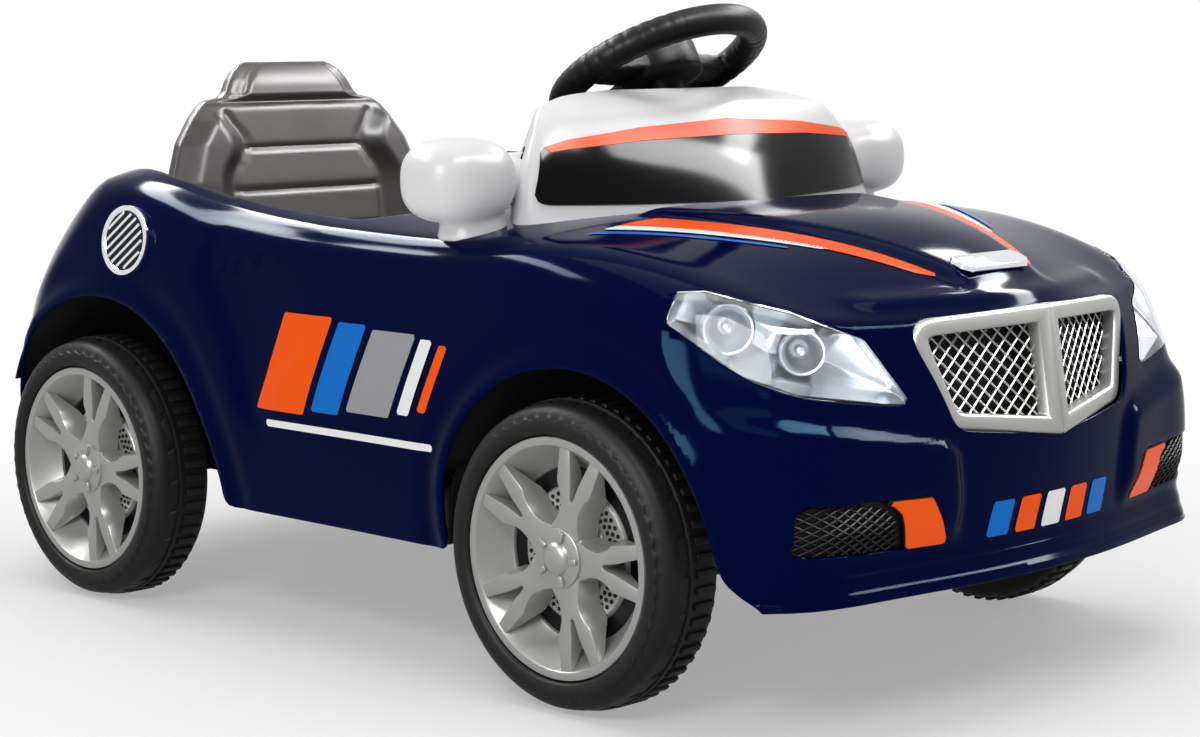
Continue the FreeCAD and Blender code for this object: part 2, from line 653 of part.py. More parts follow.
def grille_outline(depth, at=None):
    corners = (
        (0, S.grille_top_z),
        (0, S.grille_bottom_z),
        (-S.grille_bottom_half, S.grille_bottom_z + S.grille_corner_rise),
        (-S.grille_top_half, S.grille_top_z - S.grille_corner_rise / 3),
    )
    place = at or grille_plane(depth)
    spots = [place(*corner) for corner in corners]
    return Part.makePolygon(spots + spots[:1])


SCREW_X = ("floor_front_x - screw_inset", "(floor_front_x + floor_rear_x) / 2", "floor_rear_x + screw_inset")
SCREW_Y = "(door_half_width - sill_tuck - body_wall - running_gap - screw_inset)"


def make_body_shell():
    tools = []
    added = []
    wide = S.plan_half_width
    arches = (
        (S.front_axle_x + S.front_arch_shift, S.front_arch_radius, S.front_liner),
        (REAR_AXLE_X + S.rear_arch_shift, S.rear_arch_radius, S.rear_liner),
    )
    for x, radius, liner in arches:
        start = Vector(x, -wide, S.tyre_radius)
        tools.append(both_sides(Part.makeCylinder(radius, S.arch_depth, start, ACROSS)))
        ring = Part.makeCylinder(radius + S.body_wall, wide - S.arch_half_width + liner, start, ACROSS)
        added.append(both_sides(ring.common(MID_WALL)))
    row = value(SCREW_Y)
    for x in map(value, SCREW_X):
        corner = Vector(x - S.lug_width / 2, -wide, S.sill_z + S.floor_thickness)
        lug = Part.makeBox(S.lug_width, wide - row + S.screw_inset, S.lug_height, corner)
        added.append(both_sides(lug.common(MID_WALL)))
        tools.append(both_sides(Part.makeCylinder(S.screw_shank, S.screw_length, Vector(x, -row, S.sill_z))))
    rear = S.cockpit_rear_x
    knee = S.dash_x - S.end_overrun
    side = S.cockpit_half_width
    half = (
        (rear, S.cockpit_rear_half),
        (rear + 50, S.cockpit_rear_half + 52),
        (rear + 150, side),
        (knee - 80, side),
        (knee, S.cockpit_knee_half),
        (S.cockpit_front_x, S.cockpit_front_half),
    )
    corners = list(half) + [(x, -y) for x, y in reversed(half)]
    opening = outline(corners, S.cockpit_corner, lambda u, v: Vector(u, v, S.wide_z + S.arch_depth / 2))
    tools.append(prism(opening, Vector(0, 0, S.cowl_top_z)))
    tools.append(both_sides(headlamp_prism(S.headlamp_floor - S.end_overrun)))
    tools.append(both_sides(fog_prism(S.fog_outer_y, S.fog_inner_y, S.fog_slant)))
    tools.append(both_sides(tail_lamp_prism()))
    tools.append(both_sides(prism(grille_outline(0, front_plane), Vector(S.nose_reach, 0, 0))))
    solid_node("body_shell", SKIN.fuse(added).cut(tools))


def make_lamps():
    floor = S.headlamp_floor
    solid_node("headlamp_lenses", both_sides(SKIN.common(headlamp_prism(floor))))
    cup = INNER.common(headlamp_prism(floor))
    bowl = cup.cut(headlamp_prism(floor + S.bowl_wall, -S.bowl_wall))
    for along, up in ((0.27, 0.62), (0.6, 0.4)):
        place = lamp_plane(floor)(*headlamp_spot(along, up))
        barrel = Part.makeCylinder(S.barrel_radius, S.barrel_length, place, LAMP_AXIS)
        core = Part.makeCylinder(S.barrel_radius - S.bowl_wall, S.barrel_length, place, LAMP_AXIS)
        bowl = bowl.fuse(barrel.cut(core).common(cup))
    solid_node("headlamp_bowls", both_sides(bowl.removeSplitter()))
    grille = SKIN.common(fog_prism(S.fog_outer_y, S.fog_inner_y, S.fog_slant))
    far = Part.makeBox(S.nose_reach, S.plan_half_width, S.wide_z,
                       Vector(0, -S.fog_split_y - S.plan_half_width, 0))
    solid_node("fog_grilles", both_sides(grille.common(far)))
    solid_node("fog_accents", both_sides(grille.cut(far)))
    solid_node("tail_lamps", both_sides(SKIN.common(tail_lamp_prism())))


def make_grille():
    depth = Vector(-S.grille_depth, 0, 0)
    band = -S.grille_band
    frame_outline = grille_outline(0)
    window = frame_outline.makeOffset2D(band)
    half = Part.Face(frame_outline).extrude(depth).cut(Part.Face(window).extrude(depth))
    frame = half.fuse(half.mirror(MIDDLE, ACROSS)).removeSplitter()
    solid_node("grille_frame", frame)
    place = grille_plane(S.grille_depth)
    rim = grille_outline(S.grille_depth).makeOffset2D(band / 2)
    clear = Part.Face(grille_outline(S.grille_depth).makeOffset2D(band))
    half_across = (S.mesh_pitch_y - S.mesh_rib) / 2
    half_up = (S.mesh_pitch_z - S.mesh_rib) / 2
    holes = []
    rows = int(2 * (S.grille_top_z - S.grille_bottom_z) / S.mesh_pitch_z)
    columns = int(S.grille_top_half / S.mesh_pitch_y)
    for row in range(rows):
        up = S.grille_bottom_z + row * S.mesh_pitch_z / 2
        for column in range(columns):
            across = -S.grille_band - (column + 0.5 * (row % 2)) * S.mesh_pitch_y
            corners = ((across - half_across, up), (across, up - half_up),
                       (across + half_across, up), (across, up + half_up))
            spots = [place(*corner) for corner in corners]
            if all(clear.isInside(spot, 1e-6, True) for spot in spots):
                holes.append(Part.makePolygon(spots + spots[:1]))
    net = Part.Face([rim] + holes).extrude(Vector(-S.mesh_thickness, 0, 0))
    solid_node("grille_mesh", both_sides(net))


def make_body_trim():
    tilt = Rotation(ACROSS, S.badge_tilt)
    deep = 4 * S.badge_height
    corner = Vector(-S.badge_length / 2, -S.badge_width / 2, 0)
    plate = Part.makeBox(S.badge_length, S.badge_width, deep, corner)
    top = top_of_body(S.badge_x, 0.0) + S.badge_height
    plate.Placement = Placement(Vector(S.badge_x, 0, top) - tilt.multVec(Vector(0, 0, deep)), tilt)
    solid_node("hood_badge", plate.cut(OUTER))
    spot = side_of_body(S.filler_x, S.filler_z)
    ahead = side_of_body(S.filler_x + S.filler_radius, S.filler_z) - spot
    above = side_of_body(S.filler_x, S.filler_z + S.filler_radius) - spot
    facing = ahead.cross(above).normalize()
    deep = 4 * S.filler_height
    disc = Part.makeCylinder(S.filler_radius, deep, spot + facing * (S.filler_height - deep), facing)
    solid_node("filler_cap", disc.cut(OUTER))


def top_of_body(x, y):
    """Height of the body's top over a point."""
    line = Part.makeLine(Vector(x, y, S.wide_z), Vector(x, y, 2 * S.cowl_top_z))
    return line.common(OUTER).BoundBox.ZMax


def side_of_body(x, z):
    """The point of the right side at a station and height."""
    line = Part.makeLine(Vector(x, 0, z), Vector(x, -2 * S.plan_half_width, z))
    return Vector(x, line.common(OUTER).BoundBox.YMin, z)


# Cowl, dashboard and mirrors.

def cowl_wire(z, front_x, half_width, bow, inset):
    """A level outline of the cowl: bowed front, rounded corners and a straight rear."""
    rear = S.dash_x - 3 * S.end_overrun
    wide = half_width - inset
    nose = front_x - inset
    left = ((nose, 0), (nose - 0.2 * bow, 0.45 * wide), (nose - 0.62 * bow, 0.82 * wide),
            (nose - 1.2 * bow, wide), (nose - 2 * bow, 0.88 * wide), (rear, 0.6 * wide))
    points = [Vector(x, y, z) for x, y in left]
    over = spline_edge([Vector(x, -y, z) for x, y in reversed(left[1:])] + points)
    return Part.Wire([over, Part.LineSegment(points[-1], Vector(rear, -left[-1][1], z)).toShape()])


def cowl_solid(inset):
    """The cowl's form, drawn in by inset, with its top falling away behind the crest."""
    base, top = S.cowl_base_z, S.cowl_top_z - inset
    rise = top - base
    front, rake = S.cowl_front_x, S.cowl_rake
    wide, taper = S.cowl_half_width, S.cowl_taper
    bow = S.cowl_bow
    levels = (
        (base - 8, front + 0.6 * S.cowl_flare, wide + S.cowl_flare, bow),
        (base + 0.15 * rise, front + 2, wide + 0.1 * S.cowl_flare, bow),
        (base + 0.5 * rise, front - 0.35 * rake, wide - 0.3 * taper, 0.8 * bow),
        (base + 0.76 * rise, front - 0.75 * rake, wide - 0.85 * taper, 0.6 * bow),
        (base + 0.9 * rise, front - 1.05 * rake, wide - 1.6 * taper, 0.55 * bow),
        (top, front - 1.6 * rake, wide - 3.6 * taper, 0.4 * bow),
    )
    form = Part.makeLoft([cowl_wire(*level, inset) for level in levels], True)
    above = Part.makeBox(wide, 4 * wide, wide, Vector(-wide, -2 * wide, 0))
    above.Placement = Placement(Vector(S.cowl_crest_x, 0, top), Rotation(ACROSS, -S.cowl_slope))
    return form.cut(above)


def column_axis(drop):
    """A point on the steering column, a distance below the steering wheel's centre."""
    tilt = math.radians(S.column_tilt)
    return Vector(S.steering_x + drop * math.sin(tilt), 0, S.steering_z - drop * math.cos(tilt))


COLUMN_TURN = Rotation(ACROSS, -S.column_tilt)
COLUMN_DOWN = COLUMN_TURN.multVec(Vector(0, 0, -1))


def make_cowl():
    outer = cowl_solid(0.0)
    inner = cowl_solid(S.cowl_wall)
    behind = Part.makeBox(S.nose_reach, 2 * S.plan_half_width, S.cowl_top_z,
                          Vector(S.dash_x - S.nose_reach, -S.plan_half_width, S.sill_z))
    bush = Part.makeCylinder(S.bush_radius, S.bush_length, column_axis(S.wheel_hub_drop), COLUMN_DOWN)
    shell = outer.cut(inner).cut([behind, OUTER, bush])
    solid_node("windscreen_cowl", max(shell.Solids, key=lambda solid: solid.Volume))
    slab = Part.makeBox(S.dash_panel, 2 * S.plan_half_width, S.cowl_top_z,
                        Vector(S.dash_x, -S.plan_half_width, S.belt_z + S.crown))
    panel = inner.common(slab).cut([bush, OUTER])
    gap = S.running_gap
    back = S.dash_x + S.dash_panel
    ahead = Vector(1, 0, 0)
    for y, radius in ((S.button_y, S.button_radius + gap), (S.socket_y, S.socket_radius)):
        panel = panel.cut(Part.makeCylinder(radius, S.dash_x, Vector(S.dash_x / 2, y, S.control_z), ahead))
    slot_width = S.lever_width + 2 * gap
    slot = Part.makeBox(S.dash_x, slot_width, 2 * S.lever_slot,
                        Vector(S.dash_x / 2, S.lever_y - slot_width / 2, S.control_z - S.lever_slot))
    panel = panel.cut(slot)
    pivot = Vector(back + S.lever_disc, S.lever_y, S.control_z)
    for side in (-1, 1):
        near = S.lever_y + side * (slot_width + S.lever_width) / 2
        lug = Part.makeBox(S.lever_disc + 2 * S.lever_pin, S.lever_width, 4 * S.lever_pin,
                           Vector(back, near - S.lever_width / 2, S.control_z - 2 * S.lever_pin))
        panel = panel.fuse(lug)
    reach = slot_width + S.lever_width
    pin = Part.makeCylinder(S.lever_pin, reach, pivot - ACROSS * (reach / 2), ACROSS)
    solid_node("dashboard_panel", panel.fuse(pin).removeSplitter())
    corners = (
        (0, S.screen_top_z),
        (-S.screen_top_half, S.screen_top_z - S.screen_corner_drop),
        (-S.screen_bottom_half, S.screen_bottom_z),
        (S.screen_bottom_half, S.screen_bottom_z),
        (S.screen_top_half, S.screen_top_z - S.screen_corner_drop),
    )
    wire = outline(corners, S.screen_round, lambda u, v: Vector(S.cowl_crest_x + S.end_overrun, u, v))
    layer = cowl_solid(-S.screen_panel).cut([outer, OUTER])
    solid_node("windscreen_panel", layer.common(prism(wire, Vector(S.nose_reach, 0, 0))))
    make_mirrors(outer)


def make_mirrors(cowl):
    centre = Vector(S.mirror_x, -S.mirror_y, S.mirror_z)
    ball = Part.makeSphere(1)
    stretch = FreeCAD.Matrix()
    stretch.scale(S.mirror_half_length, S.mirror_half_width, S.mirror_half_height)
    pod = ball.transformGeometry(stretch)
    pod.translate(centre)
    room = 2 * S.mirror_y
    flat = Part.makeBox(room, room, room, centre - Vector(room + S.mirror_cut, room / 2, room / 2))
    neck = Part.makeCylinder(S.mirror_neck, S.mirror_half_width + 2 * S.mirror_neck, centre, ACROSS)
    under = S.belt_z - 3 * S.body_wall
    spot = Vector(centre.x, centre.y + S.mirror_foot_inset, under)
    foot = Part.makeCone(1.3 * S.mirror_foot, S.mirror_foot, S.mirror_z - under, spot)
    pod = pod.fuse([neck, foot]).cut([flat, cowl, OUTER])
    pod = max(pod.Solids, key=lambda solid: solid.Volume)
    solid_node("mirror_right", pod)
    solid_node("mirror_left", pod.mirror(MIDDLE, ACROSS))
    share = math.sqrt(1 - (S.mirror_cut / S.mirror_half_length) ** 2)
    stretch = FreeCAD.Matrix()
    rim = S.mirror_plate_rim
    stretch.scale(1, S.mirror_half_width * share - rim, S.mirror_half_height * share - rim)
    plate = Part.makeCylinder(1, S.mirror_plate, MIDDLE, Vector(-1, 0, 0)).transformGeometry(stretch)
    plate.translate(centre - Vector(S.mirror_cut, 0, 0))
    solid_node("mirror_plates", both_sides(plate.cut(cowl)))


# Wheels.

WHEELS = {
    "front_right": ("front_axle_x", "-", 0),
    "front_left": ("front_axle_x", "", 180),
    "rear_right": ("front_axle_x - wheelbase", "-", 0),
    "rear_left": ("front_axle_x - wheelbase", "", 180),
}


def place_wheel_part(body, corner):
    """Set a body of revolution on its axle, with its depth running inwards."""
    x, side, turn = WHEELS[corner]
    put(body, (x, side + "wheel_face_y", "tyre_radius"), Rotation(Vector(0, 0, 1), turn))


def make_tyre(corner):
    bore = "axle_radius + running_fit"
    web_back = "rim_depth + wheel_web"
    inner = "tyre_radius - tyre_wall"
    hub_end = "tyre_width + hub_overhang"
    body = revolved_body("tyre_" + corner, (
        (bore, "hub_face"), ("hub_radius", "hub_face"), ("hub_radius", "rim_depth"),
        ("rim_radius", "rim_depth"), ("rim_radius", "0"),
        ("tyre_radius", "0"), ("tyre_radius", "tyre_width"), (inner, "tyre_width"),
        (inner, web_back), ("hub_radius", web_back), ("hub_radius", hub_end), (bore, hub_end),
    ))
    turned = body.Tip
    rims = ["Edge%d" % number for number, edge in enumerate(turned.Shape.Edges, start=1)
            if hasattr(edge.Curve, "Radius") and abs(edge.Curve.Radius - S.tyre_radius) < 1e-6]
    rounded = body.newObject("PartDesign::Fillet", "shoulders_" + corner)
    rounded.Base = (turned, rims)
    tie(rounded, Radius="tyre_shoulder")
    place_wheel_part(body, corner)
    node("tyre_" + corner, body)


def make_trim(corner):
    edge = "rim_radius - running_gap"
    inner = "rim_radius - trim_lip"
    back = "rim_depth - trim_back"
    body = revolved_body("wheel_trim_" + corner, (
        (edge, "trim_face"), (edge, "rim_depth"),
        ("hub_radius + running_gap", "rim_depth"), ("hub_radius + running_gap", "hub_face"),
        ("trim_boss_bore", "hub_face"), ("trim_boss_bore", "trim_boss_face"),
        ("trim_boss_radius", "trim_boss_face"), ("trim_boss_radius", back),
        (inner + " - trim_wall", back), (inner, "trim_face"),
    ))
    low = "spoke_face"
    rim = "(rim_radius - trim_lip / 2)"
    near, far = "(prong_angle - prong_half_angle)", "(prong_angle + prong_half_angle)"
    root = "(trim_boss_radius - trim_wall)"
    spoke = polygon_sketch(body, "spoke_" + corner, "XZ_Plane", (
        (root, "-spoke_root"),
        (rim + " * cos" + far, "-" + rim + " * sin" + far),
        (rim + " * cos" + near, "-" + rim + " * sin" + near),
        ("spoke_fork", "0"),
        (rim + " * cos" + near, rim + " * sin" + near),
        (rim + " * cos" + far, rim + " * sin" + far),
        (root, "spoke_root"),
    ))
    tie(spoke, AttachmentOffset__Base__z="-" + low)
    pad = body.newObject("PartDesign::Pad", "spoke_pad_" + corner)
    pad.Profile = spoke
    pad.Reversed = True
    tie(pad, Length="spoke_thickness")
    doc.recompute()
    pattern = body.newObject("PartDesign::PolarPattern", "spokes_" + corner)
    pattern.Originals = [pad]
    pattern.Axis = (spoke, ["N_Axis"])
    pattern.Angle = 360
    tie(pattern, Occurrences="spoke_count")
    body.Tip = pattern
    place_wheel_part(body, corner)
    node("wheel_trim_" + corner, body)


def make_hub_cap(corner):
    plug = "trim_boss_bore - running_gap"
    face = "trim_boss_face - cap_flange"
    tip = "trim_boss_face - cap_flange - cap_dome"
    body = revolved_body("hub_cap_" + corner, (
        ("0", tip), ("cap_dome_radius * 0.7", tip), ("cap_dome_radius", "%s + cap_dome / 2" % tip),
        ("cap_dome_radius", face), ("cap_flange_radius", face), ("cap_flange_radius", "trim_boss_face"),
        (plug, "trim_boss_face"), (plug, "trim_boss_face + cap_plug"), ("0", "trim_boss_face + cap_plug"),
    ))
    place_wheel_part(body, corner)
    node("hub_cap_" + corner, body)


def make_wheels():
    for corner in WHEELS:
        make_tyre(corner)
        make_trim(corner)
        make_hub_cap(corner)


# Rear axle and front suspension.

NUT_END = "(wheel_face_y - hub_face + running_gap)"
AXLE_END = "(wheel_face_y - hub_face + running_gap + nut_height + axle_tip)"
HUB_END = "(wheel_face_y - tyre_width - hub_overhang)"


def make_rear_axle():
    x, z = "front_axle_x - wheelbase", "tyre_radius"
    axle = cylinder("rear_axle", "axle_radius", "2 * " + AXLE_END, (x, "-" + AXLE_END, z), "y")
    node("rear_axle", axle)
    blank = hexagon("nut_blank", "nut_radius", "nut_height", (x, NUT_END, z), "y")
    hole = cylinder("nut_hole", "axle_radius", "nut_height", (x, NUT_END, z), "y")
    nut = cut("axle_nut", blank, hole)
    node("axle_nuts", group("axle_nuts", nut, mirrored("axle_nut_right", nut)))
    spacers = []
    inner = "(%s - gear_space - case_wall - gear_width - 2 * gear_space - fine_width)" % HUB_END
    long = "(%s - running_gap - block_outer_y)" % HUB_END
    short = "(gear_space + fine_width)"
    for side, length, start in (("right", long, "-block_outer_y - " + long), ("left", short, inner)):
        tube = cylinder("spacer_tube_" + side, "spacer_radius", length, (x, start, z), "y")
        bore = cylinder("spacer_bore_" + side, "axle_radius", length, (x, start, z), "y")
        spacers.append(cut("spacer_" + side, tube, bore))
    node("axle_spacers", group("axle_spacers", *spacers))


SLEEVE_LOW = "(tyre_radius - knuckle_height / 2)"
SLEEVE_TOP = "(tyre_radius + knuckle_height / 2)"
TIE_ROD_TOP = "(tie_rod_z + tie_rod)"
COLUMN_RUN = "(steering_z - tie_rod_z - tie_rod / 2) * tan(column_tilt)"
PIN_X = "(steering_x + %s + crank_radius / cos(column_tilt))" % COLUMN_RUN


def make_suspension():
    x = "front_axle_x"
    y = "-kingpin_y"
    low = SLEEVE_LOW + " - running_gap - ear"
    length = "knuckle_height + 2 * running_gap + 2 * ear"
    pin = cylinder("kingpin_shank", "kingpin_radius", length, (x, y, low), "z")
    head = cylinder("kingpin_cap", "kingpin_head", "kingpin_head_height",
                    (x, y, SLEEVE_TOP + " + running_gap + ear"), "z")
    kingpin = fuse("kingpin", pin, head)
    node("kingpins", group("kingpins", kingpin, mirrored("kingpin_left", kingpin)))
    inner = "kingpin_y + kingpin_radius + 2 * running_gap + 2"
    shaft = cylinder("stub_shaft", "axle_radius", AXLE_END + " - axle_tip - (" + inner + ")",
                     (x, "-%s + axle_tip" % AXLE_END, "tyre_radius"), "y")
    bolt = hexagon("stub_head", "nut_radius", "nut_height",
                   (x, "-%s - nut_height" % NUT_END, "tyre_radius"), "y")
    stub = fuse("stub_axle_right", shaft, bolt)
    node("stub_axle_right", stub)
    node("stub_axle_left", mirrored("stub_axle_left", stub))
    sleeve = cylinder("knuckle_sleeve", "knuckle_radius", "knuckle_height", (x, y, SLEEVE_LOW), "z")
    boss = cylinder("knuckle_nose", "knuckle_boss", HUB_END + " - running_gap - kingpin_y",
                    (x, "-%s + running_gap" % HUB_END, "tyre_radius"), "y")
    arm_z = TIE_ROD_TOP + " + running_gap"
    arm = box("knuckle_lever", (x, "-kingpin_y - knuckle_arm_width / 2", arm_z),
              (PIN_X + " - front_axle_x", "knuckle_arm_width", "knuckle_arm"))
    eye = cylinder("knuckle_eye", "knuckle_arm_width / 2", "knuckle_arm", (PIN_X, y, arm_z), "z")
    peg_low = "tie_rod_z - running_gap - tie_pin_head_height"
    peg = cylinder("knuckle_peg", "tie_pin_radius", arm_z + " - (" + peg_low + ")", (PIN_X, y, peg_low), "z")
    stop = cylinder("knuckle_peg_head", "tie_pin_head", "tie_pin_head_height", (PIN_X, y, peg_low), "z")
    bore = cylinder("knuckle_bore", "kingpin_radius + running_fit", "knuckle_height", (x, y, SLEEVE_LOW), "z")
    seat = cylinder("knuckle_seat", "axle_radius", AXLE_END + " - (" + inner + ")",
                    (x, "-" + AXLE_END, "tyre_radius"), "y")
    knuckle = cut("knuckle_right", fuse("knuckle_whole", sleeve, boss, arm, eye, peg, stop), bore, seat)
    node("knuckle_right", knuckle)
    node("knuckle_left", mirrored("knuckle_left", knuckle))


def slot(name, play, run, y):
    """A slot through the tie rod that lets a pin run back from its place at rest."""
    half = "(tie_pin_radius + %s)" % play
    back = box(name + "_run", (PIN_X + " - " + run, y + " - " + half, "tie_rod_z"),
               (run, "2 * " + half, "tie_rod"))
    ends = [cylinder(name + end, half, "tie_rod", (PIN_X + shift, y, "tie_rod_z"), "z")
            for end, shift in (("_front", ""), ("_rear", " - " + run))]
    return fuse(name, back, *ends)


def make_tie_rod():
    reach = "(kingpin_y + tie_rod_end)"
    bar = box("tie_bar", (PIN_X + " - tie_slot_run / 2 - tie_rod_width / 2", "-" + reach, "tie_rod_z"),
              ("tie_rod_width", "2 * " + reach, "tie_rod"))
    wide = "(tie_pin_radius + crank_slot_play + tie_rod)"
    plate = box("tie_plate", (PIN_X + " - crank_slot_run - " + wide, "-2 * " + wide, "tie_rod_z"),
                ("crank_slot_run + 2 * " + wide, "4 * " + wide, "tie_rod"))
    rod = fuse("tie_whole", bar, plate)
    slots = [slot("tie_slot_right", "tie_slot_play", "tie_slot_run", "-kingpin_y"),
             slot("tie_slot_left", "tie_slot_play", "tie_slot_run", "kingpin_y"),
             slot("tie_slot_crank", "crank_slot_play", "crank_slot_run", "0")]
    node("tie_rod", cut("tie_rod_bar", rod, *slots))


# Steering, built about the column's axis with its origin at the steering wheel's centre.

def on_column(label, thing):
    """Tilt a piece built about the Z axis onto the steering column."""
    thing.Placement = Placement(column_axis(0), COLUMN_TURN)
    return node(label, thing)


def make_steering():
    low = "-column_length"
    shaft = cylinder("column_shaft", "column_radius", "column_length", ("0", "0", low), "z")
    eye = cylinder("column_eye", "crank_width / 2 + tie_rod", "crank", ("0", "0", low), "z")
    arm = box("column_arm", ("0", "-crank_width / 2", low), ("crank_radius", "crank_width", "crank"))
    tip = cylinder("column_tip", "crank_width / 2", "crank", ("crank_radius", "0", low), "z")
    pin = cylinder("column_pin", "tie_pin_radius", "crank + crank_pin", ("crank_radius", "0", low), "z")
    on_column("steering_column", fuse("column", shaft, eye, arm, tip, pin))

    ring = doc.addObject("Part::Torus", "wheel_ring")
    tie(ring, Radius1="ring_radius", Radius2="ring_tube")
    drop = "wheel_hub_drop - running_gap"
    hub = cylinder("wheel_hub", "wheel_hub_radius", drop + " + wheel_hub_top",
                   ("0", "0", "-(%s)" % drop), "z")
    across = box("wheel_spokes", ("-wheel_spoke_width / 2", "-ring_radius", "-wheel_spoke / 2"),
                 ("wheel_spoke_width", "2 * ring_radius", "wheel_spoke"))
    back = box("wheel_spoke_rear", ("-ring_radius", "-wheel_spoke_width / 2", "-wheel_spoke / 2"),
               ("ring_radius", "wheel_spoke_width", "wheel_spoke"))
    recess = cylinder("wheel_recess", "horn_radius + running_gap", "horn_height + horn_travel",
                      ("0", "0", "wheel_hub_top - horn_height / 2 - horn_travel"), "z")
    bore = cylinder("wheel_bore", "column_radius", "wheel_hub_drop", ("0", "0", "-wheel_hub_drop"), "z")
    on_column("steering_wheel", cut("wheel", fuse("wheel_whole", ring, hub, across, back), recess, bore))
    horn = cylinder("horn", "horn_radius", "horn_height", ("0", "0", "wheel_hub_top - horn_height / 2"), "z")
    on_column("horn_button", group("horn_group", horn))

    start = ("0", "0", "-wheel_hub_drop - bush_length")
    tube = cylinder("bush_tube", "bush_radius", "bush_length", start, "z")
    core = cylinder("bush_core", "column_radius + running_fit", "bush_length", start, "z")
    on_column("column_bush", cut("bush", tube, core))


# Seat.

def round_bar(z, front_x, half_width, thickness):
    """A level outline of the backrest: a bar with rounded edges."""
    corners = ((front_x, -half_width), (front_x, half_width), (front_x - thickness, half_width),
               (front_x - thickness, -half_width))
    return outline(corners, 0.4 * thickness, lambda u, v: Vector(u, v, z))


def make_seat():
    low = S.seat_top_z - S.seat_pan
    front = S.seat_back_x
    lean = S.back_lean / (S.back_waist_z - S.seat_top_z)
    rows = (
        (low, S.seat_half_width, S.back_thickness),
        (S.back_waist_z, S.back_waist_half, S.back_thickness),
        (S.back_shoulder_z - 8, S.back_shoulder_half + 6, 0.9 * S.back_thickness),
        (S.back_shoulder_z, S.back_shoulder_half - 4, 0.85 * S.back_thickness),
        (S.back_shoulder_z + 4, S.headrest_half, 0.8 * S.back_thickness),
        (S.headrest_top_z - 6, S.headrest_top_half + 6, 0.7 * S.back_thickness),
        (S.headrest_top_z, S.headrest_top_half, 0.5 * S.back_thickness),
    )
    wires = [round_bar(z, front - lean * (z - S.seat_top_z), half, thick) for z, half, thick in rows]
    seat = Part.makeLoft(wires, True, True)
    half = S.seat_half_width
    corner = Vector(front - S.back_thickness / 2, -half, low)
    pan = Part.makeBox(S.seat_front_x - corner.x, 2 * half, S.seat_pan, corner)
    bolster = Part.makeBox(S.seat_front_x - corner.x, S.seat_bolster_width, S.seat_bolster,
                           Vector(corner.x, -half, S.seat_top_z))
    edges = [edge for edge in bolster.Edges
             if edge.BoundBox.XLength > half and edge.BoundBox.ZMin > S.seat_top_z]
    bolster = bolster.makeFillet(0.4 * S.seat_bolster, edges)
    floor = S.sill_z + S.floor_thickness
    skirt = Part.makeBox(S.seat_skirt, 2 * half, low - floor,
                         Vector(S.seat_front_x - S.seat_skirt, -half, floor))
    side = Part.makeBox(S.seat_skirt_length, S.seat_skirt, low - floor,
                        Vector(S.seat_front_x - S.seat_skirt_length, -half, floor))
    for piece in (pan, bolster, bolster.mirror(MIDDLE, ACROSS), skirt, side, side.mirror(MIDDLE, ACROSS)):
        seat = seat.fuse(piece)
    solid_node("seat", seat.removeSplitter())


# Chassis tray.

